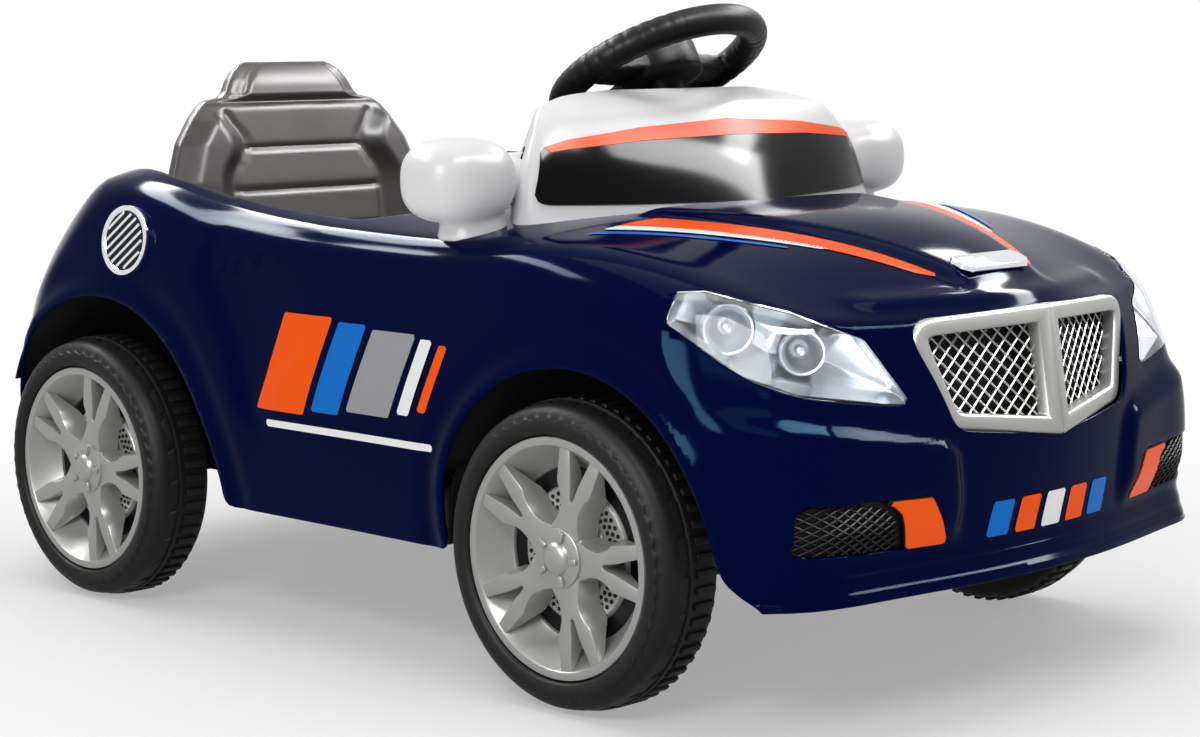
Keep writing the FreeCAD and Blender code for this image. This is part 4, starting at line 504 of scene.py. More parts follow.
# Along the car: x, half width, height of the shoulder's edge, its inset and its drop, and the top's crown.
STATIONS = (
    (-534, 272, 284, 66, 46, 15.6), (-427.5, 287, 352, 68, 54, 15.6), (-335, 292, 383, 64, 58, 12),
    (-178, 287, 366, 47, 44, 12), (-27.5, 285, 353, 42, 35, 12), (123, 287, 350, 43, 33, 12),
    (265, 292, 350, 60, 36, 12), (391.5, 289, 322, 76, 36, 23), (532, 284, 256, 92, 34, 23),
)
STATION_X, STATION_HALF, STATION_EDGE = ([row[k] for row in STATIONS] for k in range(3))
SILL_Z, SILL_TUCK = 103, 15
WAIST_Z, SHOULDER_TUCK = 195, 11
HALF_WIDTH = 294
AXLE_Z = 118
# The bumpers: how far each reaches at each level, and its share of the sweep back to the corners.
LEVELS = (89, 150, 210, 285, 330, 372, 430)
NOSES = ((505, 0.9), (505, 1.0), (509, 1.2), (498, 1.7), (473, 1.9), (423, 1.9), (328, 1.9))
TAILS = ((-508, 1.0), (-517.3, 1.0), (-515.5, 1.1), (-498, 1.45), (-472, 1.75), (-430, 1.9), (-355, 1.9))
NOSE_SWEEP, TAIL_SWEEP = -100, 90
BUMPER_HALF, BUMPER_LIMIT = 304, 301
# The sweep across: share of the bumper's half width, and share of the sweep there.
NOSE_SHARES = ((0, 0), (0.33, 0.08), (0.63, 0.24), (0.86, 0.52), (0.99, 1))
TAIL_SHARES = ((0, 0), (0.33, 0.06), (0.63, 0.2), (0.86, 0.5), (0.99, 1))
# The front lip: heights, and how proud it stands there.
LIP = ((103, 8.5), (110, 9), (114, 5), (121, 4.5), (126, 1), (131, 0))
# The wheel arches: x and radius. Their feet: the rounding in front and behind.
ARCHES = ((273, 142), (-310, 157))
FEET = {273: (38, 12), -310: (14, 30)}
# The liner in each arch: y of its inner wall, radius of the hole there, its first angle and its arc.
LINERS = {273: (148, 80, -12, 172), -310: (164, 100, 4, 158)}
# The S-shaped crease in the side, x and z, from the belt down.
CREASE = ((-156, 352), (-163, 328), (-169, 303), (-157, 287), (-140, 264), (-124, 240), (-113, 208),
          (-97, 185), (-80, 172))
FLIPPED = [0, 3, 2, 1]
SEAM_ROWS = 4.5


def chainage(points):
    """Lengths along a chain of points."""
    return np.concatenate([[0], np.cumsum(np.linalg.norm(np.diff(points, axis=0), axis=1))])


def spline(knots, values, at):
    """Natural cubic through values (n, m) at knots, read column by column at places (k, m)."""
    knots = np.asarray(knots, float)
    values = np.asarray(values, float)
    count = len(knots)
    gap = np.diff(knots)
    rows = np.eye(count)
    right = np.zeros_like(values)
    for k in range(1, count - 1):
        rows[k, k - 1:k + 2] = gap[k - 1], 2 * (gap[k - 1] + gap[k]), gap[k]
        right[k] = 6 * ((values[k + 1] - values[k]) / gap[k] - (values[k] - values[k - 1]) / gap[k - 1])
    bend = np.linalg.solve(rows, right)
    k = np.clip(np.searchsorted(knots, at) - 1, 0, count - 2)
    wide = knots[k + 1] - knots[k]
    low = (knots[k + 1] - at) / wide
    high = 1 - low
    low_value, high_value = np.take_along_axis(values, k, 0), np.take_along_axis(values, k + 1, 0)
    low_bend, high_bend = np.take_along_axis(bend, k, 0), np.take_along_axis(bend, k + 1, 0)
    bent = (low ** 3 - low) * low_bend + (high ** 3 - high) * high_bend
    return low * low_value + high * high_value + bent * wide * wide / 6


def smooth(low, high, at):
    share = np.clip((at - low) / (high - low), 0, 1)
    return share * share * (3 - 2 * share)


def window(at, start, full, fade, end):
    """1 from full to fade, 0 before start and after end."""
    return smooth(start, full, at) * (1 - smooth(fade, end, at))


def bell(at, middle, width):
    return np.exp(-((at - middle) / width) ** 2)


def half_sections(places):
    """The body's half cross-sections (station, place, y and z), from 0 at the sill to 6 at the top."""
    found = []
    for _, wide, edge_z, inset, drop, crown in STATIONS:
        low, edge, shoulder = edge_z - drop, wide - inset, wide - SHOULDER_TUCK
        half = [(wide - SILL_TUCK, SILL_Z), (wide, WAIST_Z), (wide - SHOULDER_TUCK / 4, (WAIST_Z + low) / 2),
                (shoulder, low), (edge + 0.7071 * (shoulder - edge), low + 0.7071 * drop), (edge, edge_z),
                (0, edge_z + crown)]
        whole = np.array(half + [(-y, z) for y, z in reversed(half[:-1])], float)
        run = chainage(whole)
        at = np.interp(places, np.arange(7), run[:7])
        found.append(spline(run, whole, np.stack([at, at], 1)))
    return np.array(found)


def end_x(y, z, ends, shares, sweep):
    """How far forward a bumper's surface is at points across and up."""
    side, back = np.array(shares).T
    knots = np.concatenate([-side[:0:-1], side]) * BUMPER_HALF
    depth = np.concatenate([back[:0:-1], back])
    levels = np.array([middle + turn * sweep * depth for middle, turn in ends])
    across = np.clip(y, -BUMPER_LIMIT, BUMPER_LIMIT)
    rows = spline(knots, levels.T, np.repeat(across[:, None], len(ends), 1))
    return spline(LEVELS, rows.T, np.clip(z, LEVELS[0], LEVELS[-1])[None, :])[0]


def nose_x(y, z):
    """Front of the body: the bumper with its lip, which fades out round the corners."""
    proud = np.interp(z, *zip(*LIP))
    return end_x(y, z, NOSES, NOSE_SHARES, NOSE_SWEEP) + proud * (1 - smooth(215, 292, np.abs(y)))


def tail_x(y, z):
    return end_x(y, z, TAILS, TAIL_SHARES, TAIL_SWEEP)


def halving(inside, outside, gap):
    """Where a gap closes between an inside and an outside place."""
    for _ in range(36):
        middle = (inside + outside) / 2
        still = gap(middle) > 0
        inside = np.where(still, middle, inside)
        outside = np.where(still, outside, middle)
    return (inside + outside) / 2


def end_patch(rim, corner, place):
    """Points of a bumper's face inside its rim, row by row from the sill up."""
    count = len(rim)
    side = corner + 1
    top = rim[corner:count - corner]
    right, left = rim[:side], rim[::-1][:side]
    up = (right[:, 1] - right[0, 1]) / (right[-1, 1] - right[0, 1])
    over = (top[:, 0] - top[0, 0]) / (top[-1, 0] - top[0, 0])
    v, w = up[:, None, None], over[None, :, None]
    bottom = right[0] + over[:, None] * (left[0] - right[0])
    ruled = (1 - v) * bottom[None] + v * top[None] + (1 - w) * right[:, None] + w * left[:, None]
    corners = (1 - v) * ((1 - w) * right[0] + w * left[0]) + v * ((1 - w) * top[0] + w * top[-1])
    across = ruled - corners
    y, z = across[..., 0].ravel(), across[..., 1].ravel()
    return np.stack([place(y, z), y, z], 1).reshape(*across.shape[:2], 3)


def arch_beads(x, z):
    """Rolled edges of the wheel arches, each with a shallow dip round it."""
    out = np.zeros_like(x)
    for centre, radius in ARCHES:
        gone = np.hypot(x - centre, z - AXLE_Z) - radius
        out += 2.4 * bell(gone, 5, 5) - 1.6 * bell(gone, 22, 9)
    return out


def side_crease(x, away, z):
    """The S-shaped step in each side: full behind it, hollow in front, with a groove along it."""
    out = np.zeros_like(x)
    run = np.linspace(0, 1, 400)
    line = spline(np.linspace(0, 1, len(CREASE)), CREASE, np.stack([run, run], 1))
    near = (away > 180) & (x > -300) & (x < 20) & (z > 120)
    flat = np.stack([x[near], z[near]], 1)
    apart = np.linalg.norm(flat[:, None] - line[None], axis=2)
    spot = apart.argmin(1)
    along, to = np.gradient(line, axis=0)[spot], flat - line[spot]
    behind = along[:, 0] * to[:, 1] - along[:, 1] * to[:, 0] < 0
    gone = np.where(behind, 1, -1) * apart.min(1)
    step = smooth(-12, 12, gone)
    full, hollow = 2 * step * (1 - smooth(26, 90, gone)), 4 * (1 - step) * (1 - smooth(16, 120, -gone))
    out[near] = window(run[spot], 0, 0.34, 0.72, 1) * (full - hollow - 1.2 * bell(gone, -3, 5))
    return out


def hood_rise(x, away):
    """The raised middle of the hood, which narrows to the nose."""
    width = np.interp(x, (215, 300, 455), (134, 104, 50))
    return 6 * (1 - smooth(width - 9, width + 9, away)) * window(x, 196, 222, 440, 474)


def nose_cheeks(away, z):
    """The full lower corners of the nose, under a sloping ledge, beside the middle."""
    edge = np.interp(z, (100, 172, 201, 222, 240), (109, 109, 114, 131, 156))
    ledge = np.interp(away, (113, 270), (214, 241))
    proud = smooth(-8, 8, away - edge) * (1 - smooth(ledge - 15, ledge + 3, z)) * smooth(126, 160, z)
    return 8 * proud * (1 - smooth(262, 286, away))


def forms(points):
    """Press the creases, beads and bulges into the plain body."""
    x, y, z = points.T.copy()
    side, away = np.sign(y), np.abs(y)
    flank = smooth(215, 250, away) * (1 - smooth(330, 360, z))
    out = flank * arch_beads(x, z) + side_crease(x, away, z)
    y += side * np.minimum(out, np.maximum(HALF_WIDTH - away, 0))
    z += hood_rise(x, away) * (z > 270)
    x += nose_cheeks(away, z) * (x > 330)
    brow = bell(z, 309, 4.5) * (1 - smooth(140, 170, away)) * (x > 400)
    x += 3.5 * brow
    z += 1.5 * brow
    belt = np.interp(x, STATION_X, STATION_EDGE) - 13
    groove = bell(z, belt, 4) * smooth(205, 222, away) * window(x, -230, -150, 110, 190)
    y -= side * 2.2 * groove
    z -= 1.6 * groove
    return np.stack([x, y, z], 1)


def section_places(step):
    """Places up the half section, closer together on the lip at the sill."""
    fine = np.linspace(0, 6, 1201)
    middle = half_sections(fine)[4]
    run = chainage(middle)
    low = np.interp(136, middle[:400, 1], run[:400])
    above = np.linspace(low, run[-1], int((run[-1] - low) / step) + 1)
    return np.interp(np.concatenate([np.linspace(0, low, 15)[:-1], above]), run, fine)


def side_grid(places, rows):
    """Points of the sides and the top, from tail to nose and from the right sill to the left."""
    sections = half_sections(places)

    def at(x):
        return [spline(STATION_X, sections[..., k], x) for k in (0, 1)]

    def reach(inside, outside, gap):
        ends = [np.full((1, len(places)), float(x)) for x in (inside, outside)]
        return halving(*ends, lambda x: gap(x[0], *[part[0] for part in at(x)])[None])

    front = reach(200, 531, lambda x, y, z: nose_x(y, z) - x)
    rear = reach(-250, -533, lambda x, y, z: x - tail_x(y, z))
    x = rear + np.linspace(0, 1, rows + 1)[:, None] * (front - rear)
    y, z = at(x)
    right, left = np.stack([x, -y, z], 2), np.stack([x, y, z], 2)
    return np.concatenate([right, left[:, ::-1][:, 1:]], 1)


def seam_weight(ring):
    """How freely a point may move, by its rings away from a seam."""
    return np.clip(1 - ring / SEAM_ROWS, 0, 1)


def relax(points, quads, weight):
    """Even out a mesh by its weights, so that its patches meet smoothly."""
    links = np.concatenate([quads[:, [k, (k + 1) % 4]] for k in range(4)])
    links = np.unique(np.sort(links, 1), axis=0)
    count = np.bincount(links.ravel(), minlength=len(points))[:, None]
    for _ in range(14):
        near = np.zeros_like(points)
        for here, there in ((0, 1), (1, 0)):
            np.add.at(near, links[:, here], points[links[:, there]])
        points = points + 0.6 * weight[:, None] * (near / count - points)
    return points


@functools.lru_cache(maxsize=1)
def body_surface():
    """Points, quads and normals of the body's whole outer surface, in millimetres."""
    step = sizes().step / MM
    places = section_places(step)
    rows = int(1035 / step)
    grid = side_grid(places, rows)
    number = np.arange(grid.size // 3).reshape(grid.shape[:2])
    from_end = np.minimum(np.arange(rows + 1), rows - np.arange(rows + 1))
    weight = np.repeat(seam_weight(from_end)[:, None], grid.shape[1], 1)
    weight[:, [0, -1]] = 0
    points, weights, quads = [grid.reshape(-1, 3)], [weight.ravel()], [quads_of(number)]
    corner = int(np.argmin(np.abs(places - 4.1)))
    for row, place, order in ((rows, nose_x, FLIPPED), (0, tail_x, [0, 1, 2, 3])):
        patch = end_patch(grid[row][:, 1:], corner, place)
        high, wide = patch.shape[:2]
        inner = patch[:-1, 1:-1]
        ids = np.zeros((high, wide), int)
        ids[:, 0], ids[:, -1] = number[row, :high], number[row, ::-1][:high]
        ids[-1] = number[row, corner:grid.shape[1] - corner]
        ids[:-1, 1:-1] = sum(map(len, points)) + np.arange(inner.size // 3).reshape(inner.shape[:2])
        up, over = np.meshgrid(np.arange(high - 1), np.arange(1, wide - 1), indexing="ij")
        heavy = seam_weight(np.minimum(np.minimum(high - 1 - up, over), wide - 1 - over))
        heavy[0] = 0
        points.append(inner.reshape(-1, 3))
        weights.append(heavy.ravel())
        quads.append(quads_of(ids)[:, order])
    points, quads = np.concatenate(points), np.concatenate(quads)
    points = forms(relax(points, quads, np.concatenate(weights)))
    return points, quads, normals_of(points, quads)


def normals_of(points, quads):
    across = np.cross(points[quads[:, 2]] - points[quads[:, 0]], points[quads[:, 3]] - points[quads[:, 1]])
    total = np.zeros_like(points)
    for k in range(4):
        np.add.at(total, quads[:, k], across)
    return total / np.maximum(np.linalg.norm(total, axis=1, keepdims=True), 1e-9)


def rounded(corners, radius):
    """A closed outline with its corners rounded."""
    corners = np.array(corners, float)
    found = []
    for k, spot in enumerate(corners):
        to_last = corners[k - 1] - spot
        to_next = corners[(k + 1) % len(corners)] - spot
        last, after = np.linalg.norm(to_last), np.linalg.norm(to_next)
        half = math.acos(np.clip(to_last @ to_next / (last * after), -1, 1)) / 2
        back = min(radius / math.tan(half), 0.45 * last, 0.45 * after)
        start, end = spot + to_last / last * back, spot + to_next / after * back
        for share in np.linspace(0, 1, 9):
            found.append((1 - share) ** 2 * start + 2 * share * (1 - share) * spot + share ** 2 * end)
    return np.array(found)


def outline_distance(flat, loop):
    """Signed distance of flat points from a closed outline, negative inside."""
    best = np.full(len(flat), 1e9)
    inside = np.zeros(len(flat), bool)
    for a, b in zip(loop, np.roll(loop, -1, 0)):
        run = b - a
        size = run @ run
        if size < 1e-9:
            continue
        share = np.clip(((flat - a) @ run) / size, 0, 1)
        best = np.minimum(best, np.linalg.norm(flat - a - share[:, None] * run, axis=1))
        crosses = (a[1] > flat[:, 1]) != (b[1] > flat[:, 1])
        if abs(run[1]) > 1e-9:
            inside ^= crosses & (flat[:, 0] < a[0] + (flat[:, 1] - a[1]) * run[0] / run[1])
    return np.where(inside, -best, best)


def limited(mask, found):
    """A distance that only counts where the mask holds."""
    return np.where(mask, found, 1e3)


# Outlines: across and up for what is set into the ends, along and across for the cockpit.
FOG = ((-254, 139), (-254, 176), (-141, 174.5), (-120.5, 135))
FOG_GRILLE = ((-254, 139), (-254, 176), (-207, 174), (-182, 168), (-174, 161), (-164, 136))
FOG_ACCENT = ((-202, 175.5), (-141, 174), (-121, 140), (-122, 135), (-161, 135.5), (-171, 163), (-180, 170))
TAIL_LAMP = ((-226, 229), (-226, 266), (-150, 272), (-150, 237))
GRILLE = ((-142, 296.7), (0, 301), (142, 296.7), (110, 217), (0, 204), (-110, 217))
COCKPIT = ((-406, 165), (-356, 217), (-256, 237), (-10, 237), (70, 160), (190, 110))
# The headlamp is drawn in a plane at 45 degrees, in shares of its length and height.
LAMP_SHAPE = ((0, 0.7), (0.07, 1), (0.5, 0.79), (0.8, 0.55), (1, 0), (0.88, 0.02), (0.52, 0.13), (0.3, 0.28))
SLANT = math.sqrt(0.5)


def lamp_flat(along, up):
    """A place in the headlamp's plane."""
    return 60 + 178 * along, 239 + 87 * up


LAMP = [lamp_flat(*spot) for spot in LAMP_SHAPE]


def lamp_distance(p, sign=-1):
    flat = np.stack([(p[:, 0] - np.abs(p[:, 1])) * SLANT, p[:, 2]], 1)
    return limited((p[:, 0] > 250) & (p[:, 1] * sign > 20), outline_distance(flat, rounded(LAMP, 4)))


def front_distance(p, shape, radius=6, sign=0):
    mask = (p[:, 0] > 380) & ((p[:, 1] * sign > 0) if sign else True)
    across = -np.abs(p[:, 1]) if sign else p[:, 1]
    return limited(mask, outline_distance(np.stack([across, p[:, 2]], 1), rounded(shape, radius)))


def tail_lamp_distance(p, sign=-1):
    flat = np.stack([-np.abs(p[:, 1]), p[:, 2]], 1)
    mask = (p[:, 0] < -380) & (p[:, 1] * sign > 0)
    return limited(mask, outline_distance(flat, rounded(TAIL_LAMP, 6)))


def cockpit_distance(p):
    loop = rounded(list(COCKPIT) + [(x, -y) for x, y in reversed(COCKPIT)], 24)
    return limited(p[:, 2] > 280, outline_distance(p[:, :2], loop))


def openings_distance(p):
    """Distance from the nearest opening in the body, negative inside one."""
    found = cockpit_distance(p)
    for centre, radius in ARCHES:
        gone = np.hypot(p[:, 0] - centre, p[:, 2] - AXLE_Z) - radius
        foot = np.where(p[:, 0] > centre, *FEET[centre])
        up = p[:, 2] - SILL_Z
        bend = foot - np.hypot(foot - gone, foot - up)
        gone = np.where((gone < foot) & (up < foot), np.minimum(gone, bend), gone)
        found = np.minimum(found, limited(np.abs(p[:, 1]) > 180, gone))
    found = np.minimum(found, front_distance(p, GRILLE, 20))
    for sign in (-1, 1):
        for piece in (lamp_distance(p, sign), front_distance(p, FOG, 6, sign), tail_lamp_distance(p, sign)):
            found = np.minimum(found, piece)
    return found


# How near the cut's line a point is moved onto it, and the step that its slope is read over.
SNAP, NUDGE = 1.2, 0.2


def cut_surface(name, points, quads, normals, distance, lift=0.0):
    """The part of a surface where a distance is negative, cut along its zero line."""
    away = distance(points)
    near = np.abs(away) < SNAP
    slopes = np.stack([(distance(points[near] + shift) - away[near]) / NUDGE
                       for shift in NUDGE * np.eye(3)], 1)
    slopes -= (slopes * normals[near]).sum(1, keepdims=True) * normals[near]
    size = np.maximum((slopes ** 2).sum(1, keepdims=True), 0.2)
    points = points.copy()
    points[near] -= away[near][:, None] * slopes / size
    away = np.where(near, 0, away)
    keep = (away[quads] < 0).any(1)
    quads = quads[keep]
    used = np.unique(quads)
    renumber = np.full(len(points), -1)
    renumber[used] = np.arange(len(used))
    points, away, normals = points[used], away[used], normals[used]
    piece = from_points(name, points + normals * lift, renumber[quads].tolist())
    bm = bmesh.new()
    bm.from_mesh(piece.data)
    bm.verts.ensure_lookup_table()
    value = {vertex: away[vertex.index] for vertex in bm.verts}
    border = [vertex for vertex in bm.verts if value[vertex] == 0]
    crossing = [edge for edge in bm.edges if value[edge.verts[0]] * value[edge.verts[1]] < 0]
    for edge in crossing:
        first, last = edge.verts
        share = value[first] / (value[first] - value[last])
        _, fresh = bmesh.utils.edge_split(edge, first, share)
        value[fresh] = 0
        border.append(fresh)
    bmesh.ops.connect_verts(bm, verts=border)
    spare = [face for face in bm.faces if sum(value[vertex] for vertex in face.verts) >= 0]
    bmesh.ops.delete(bm, geom=spare, context="FACES")
    bm.to_mesh(piece.data)
    bm.free()
    return piece


def body_patch(name, distance, lift=0.0, inset=0.0, finer=0):
    """A piece of the body's surface inside an outline, drawn in by inset."""
    points, quads, normals = body_surface()
    if finer:
        near = quads[(distance(points)[quads] < 14).any(1)]
        used, order = np.unique(near, return_inverse=True)
        rough = from_points("rough", points[used], order.reshape(near.shape).tolist())
        modify(rough, "SUBSURF", levels=finer, render_levels=finer)
        points = np.array([vertex.co for vertex in rough.data.vertices]) / MM
        quads = np.array([list(face.vertices) for face in rough.data.polygons])
        normals = normals_of(points, quads)
        bpy.data.objects.remove(rough)
    return cut_surface(name, points, quads, normals, lambda p: distance(p) + inset, lift)


def set_in(name, distance, lift, inset, thick, finer=0):
    """A piece of the body's surface as a thin part of its own."""
    return thicken(body_patch(name, distance, lift, inset, finer), thick)


@functools.lru_cache(maxsize=1)
def body_tree():
    """The body's surface, ready to be met by lines."""
    points, quads, _ = body_surface()
    return BVHTree.FromPolygons([tuple(p) for p in points], quads.tolist())


def hit_body(start, along):
    """Where a line meets the body, and the body's normal there."""
    spot, normal, _, _ = body_tree().ray_cast(Vector(start), Vector(along).normalized())
    if spot is None:
        raise RuntimeError("the line misses the body")
    return spot, normal if normal.dot(Vector(along)) < 0 else -normal


class RideOnOperator:
    """Shared settings of the operators."""

    bl_options = {"REGISTER", "UNDO"}


class RIDE_OT_body(RideOnOperator, bpy.types.Operator):
    """Model the painted body shell with its creases and openings"""

    bl_idname = "ride.body"
    bl_label = "Body shell"

    def execute(self, context):
        piece = body_patch("body", lambda p: -openings_distance(p))
        soften(thicken(piece, sizes().wall / MM), 0.8, 2, 50)
        done(piece, "car", paint(), ["body_shell"], 45)
        return {"FINISHED"}


def bar(start, end, low, high, lean, axes):
    """The distance from a leaning bar drawn in a plane of two axes."""
    corners = ((start, low), (end, low), (end + lean, high), (start + lean, high))
    return lambda p: outline_distance(p[:, axes], rounded(corners, 2))


# Printed bars. On the door: ink, start, end, low, high and lean. On the hood: ink and corners.
DOOR_BARS = (
    ("orange", -92, -30, 196, 278, 34), ("blue", -20, 14, 200, 275, 32), ("grey", 24, 76, 204, 272, 30),
    ("white", 86, 100, 208, 269, 26), ("orange", 110, 120, 212, 266, 24), ("white", -78, 126, 182, 188, 0),
)
HOOD_BARS = (
    ("orange", ((232, 186), (232, 142), (444, 58), (430, 74))),
    ("white", ((234, 207), (234, 187), (376, 101), (368, 112))),
    ("blue", ((236, 226), (236, 214), (362, 124), (354, 134))),
)
NOSE_BARS = ("blue", "orange", "white", "orange", "blue")
NOSE_START, NOSE_PITCH, NOSE_WIDE = -78, 32, 24


class RIDE_OT_stripes(RideOnOperator, bpy.types.Operator):
    """Lay the plain printed bars on the doors, the hood and the nose"""

    bl_idname = "ride.stripes"
    bl_label = "Stripes"

    def execute(self, context):
        self.inks = {
            "orange": ("accent_orange", stripe("orange_print", colours().orange)),
            "blue": ("body_paint", stripe("blue_print", colours().blue)),
            "grey": ("silver_plastic", stripe("grey_print", colours().grey)),
            "white": ("white_plastic", stripe("white_print", linear("F2F2F2"))),
        }
        for side, sign in (("right", -1), ("left", 1)):
            for number, (ink, *sides) in enumerate(DOOR_BARS):
                shape = bar(*sides, [0, 2])
                self.lay("door_stripe_%s_%d" % (side, number), ink,
                         lambda p: limited(p[:, 1] * sign > 200, shape(p)))
            for ink, corners in HOOD_BARS:
                loop = rounded([(x, sign * y) for x, y in corners], 1)
                self.lay("hood_stripe_%s_%s" % (side, ink), ink,
                         lambda p: limited(p[:, 2] > 270, outline_distance(p[:, :2], loop)))
        for number, ink in enumerate(NOSE_BARS):
            start = NOSE_START + NOSE_PITCH * number
            shape = bar(start, start + NOSE_WIDE, 134, 160, 8, [1, 2])
            self.lay("nose_stripe_%d" % number, ink, lambda p: limited(p[:, 0] > 380, shape(p)))
        return {"FINISHED"}

    def lay(self, name, ink, distance):
        slot, finish = self.inks[ink]
        done(body_patch(name, distance, sizes().film / MM, finer=2), "car", finish)


def cowl_levels():
    """Height, front, half width and bow of the cowl's levels, from foot to crest."""
    base, rise, front, rake, wide, taper, bow, flare = 338, 120, 216, 48, 212, 30, 52, 22
    return (
        (base - 8, front + 0.6 * flare, wide + flare, bow),
        (base + 0.15 * rise, front + 2, wide + 0.1 * flare, bow),
        (base + 0.5 * rise, front - 0.35 * rake, wide - 0.3 * taper, 0.8 * bow),
        (base + 0.76 * rise, front - 0.75 * rake, wide - 0.85 * taper, 0.6 * bow),
        (base + 0.9 * rise, front - 1.05 * rake, wide - 1.6 * taper, 0.55 * bow),
        (base + rise, front - 1.6 * rake, wide - 3.6 * taper, 0.4 * bow),
    )


COWL_ACROSS, COWL_UP = 121, 46
COWL_REAR, COWL_CREST, COWL_SLOPE = (84, 0, 0), (126, 0, 457.5), math.radians(20)


@functools.lru_cache(maxsize=1)
def cowl_surface():
    """Points, quads and normals of the cowl's walls, from foot to crest."""
    loops = []
    run = np.linspace(0, 1, COWL_ACROSS)
    for z, nose, wide, bow in cowl_levels():
        left = [(nose, 0), (nose - 0.2 * bow, 0.45 * wide), (nose - 0.62 * bow, 0.82 * wide),
                (nose - 1.2 * bow, wide), (nose - 2 * bow, 0.88 * wide), (42, 0.6 * wide)]
        whole = np.array([(x, -y) for x, y in reversed(left[1:])] + left, float)
        along = chainage(whole)
        flat = spline(along / along[-1], whole, np.stack([run, run], 1))
        loops.append(np.column_stack([flat, np.full(len(run), z)]).ravel())
    levels = np.linspace(0, len(loops) - 1, COWL_UP)
    grid = spline(np.arange(len(loops)), loops, np.repeat(levels[:, None], 3 * COWL_ACROSS, 1))
    points = grid.reshape(-1, 3)
    quads = quads_of(np.arange(len(points)).reshape(COWL_UP, COWL_ACROSS))[:, FLIPPED]
    return points, quads, normals_of(points, quads)


def both_sides(half):
    """An outline across and up that starts on the middle, with its other half mirrored."""
    return [(-y, z) for y, z in half] + [(y, z) for y, z in reversed(half) if y]


# Half outlines of the dark panel and of the orange band along its top, across and up.
SCREEN = both_sides(((0, 433), (100, 428), (172, 420), (192, 414), (207, 371), (120, 369), (0, 367)))
BAND = both_sides(((0, 433), (100, 428), (172, 420), (191, 414.5), (193, 410), (172, 413), (100, 418),
                   (0, 420)))


class RIDE_OT_cowl(RideOnOperator, bpy.types.Operator):
    """Model the white windscreen cowl and the dark panel on its front"""

    bl_idname = "ride.cowl"
    bl_label = "Cowl and windscreen"

    def execute(self, context):
        points, quads, normals = cowl_surface()
        crest = list(range(len(points) - COWL_ACROSS, len(points)))
        piece = from_points("cowl", points, quads.tolist() + [crest])
        edit(bisect(COWL_REAR, (1, 0, 0), clear_inner=True))
        slope = -math.sin(COWL_SLOPE), 0, math.cos(COWL_SLOPE)
        edit(bisect(COWL_CREST, slope, clear_outer=True, use_fill=True))
        soften(outward(piece), 9, 4, 32)
        thicken(piece, 3, use_even_offset=False)
        done(piece, "car", white_plastic(), ["windscreen_cowl"], 50)
        screen = thicken(self.on_front("windscreen", rounded(SCREEN, 8), 1.2), 1.6)
        done(screen, "car", screen_black(), ["windscreen_panel"])
        band = self.on_front("windscreen_band", rounded(BAND, 1), 1.6)
        done(band, "car", stripe("orange_print", colours().orange))
        return {"FINISHED"}

    def on_front(self, name, loop, lift):
        """The part of the cowl's front inside an outline."""
        return cut_surface(name, *cowl_surface(), lambda p: limited(
            p[:, 0] > 130, outline_distance(p[:, 1:], loop)), lift)


# The right mirror pod: middle, half sizes, squareness and flat rear, and the middles of its neck and foot.
POD = (120, -249, 391)
POD_HALF = (38.5, 43.2, 33.2)
POD_SQUARE = 2.7
POD_REAR = 90.2
POD_NECK, POD_FOOT = (122, -203, 390), (120, -233, 369)
PLATE_HALF_WIDE, PLATE_HALF_TALL = 24.5, 18.5


class RIDE_OT_mirrors(RideOnOperator, bpy.types.Operator):
    """Model the mirror pods with their bell feet and the plates in them"""

    bl_idname = "ride.mirrors"
    bl_label = "Mirrors"

    def execute(self, context):
        bpy.ops.mesh.primitive_uv_sphere_add(segments=48, ring_count=24, radius=1)
        pod = grab("mirror_pod")
        for vertex in pod.data.vertices:
            vertex.co /= sum(abs(c) ** POD_SQUARE for c in vertex.co) ** (1 / POD_SQUARE)
        move_mesh(pod, moved(*POD) @ Matrix.Diagonal((*[c * MM for c in POD_HALF], 1)))
        neck = cylinder("mirror_neck", 21, 70, moved(*POD_NECK) @ turned(90, "X"), 40)
        bpy.ops.mesh.primitive_cone_add(vertices=40, radius1=0.029, radius2=0.018, depth=0.05)
        foot = move_mesh(grab("mirror_foot"), moved(*POD_FOOT))
        piece = join("mirror_pod_right", pod, neck, foot)
        modify(piece, "REMESH", mode="VOXEL", voxel_size=1.6 * MM)
        modify(piece, "SMOOTH", factor=0.5, iterations=14)
        edit(bisect((POD_REAR, 0, 0), (1, 0, 0), clear_inner=True, use_fill=True))
        other = mirror_piece(piece, "mirror_pod_left")
        done(piece, "car", white_plastic(), ["mirror_right"], 50)
        done(other, "car", white_plastic(), ["mirror_left"], 50)
        plates = []
        for sign in (-1, 1):
            place = moved(POD_REAR - 1, -sign * POD[1], POD[2]) @ turned(90, "Y")
            oval = Matrix.Diagonal((PLATE_HALF_TALL / PLATE_HALF_WIDE, 1, 1, 1))
            plates.append(chamfer(cylinder("mirror_glass", PLATE_HALF_WIDE, 1.6, place @ oval, 48), 0.4))
        done(join("mirror_glass", *plates), "car", mirror_plate(), ["mirror_plates"])
        return {"FINISHED"}


# The waisted panel on the seat's back: half width, pinch, and the pinch's height and spread. The seat's
# painted light and shade follow it too.
PANEL_HALF, PANEL_PINCH, PANEL_WAIST, PANEL_TALL = 92, 20, 402, 22
# The back: foot, neck and top, where the top starts to round and over how much, x at the pan, lean and seams.
BACK_FOOT, BACK_NECK, BACK_TOP, CROWN_START, CROWN_TALL = 208, 436, 478.6, 455, 24
BACK_X, BACK_LEAN = -355, 22 / 138
BACK_SEAMS = (318, 357, 397)
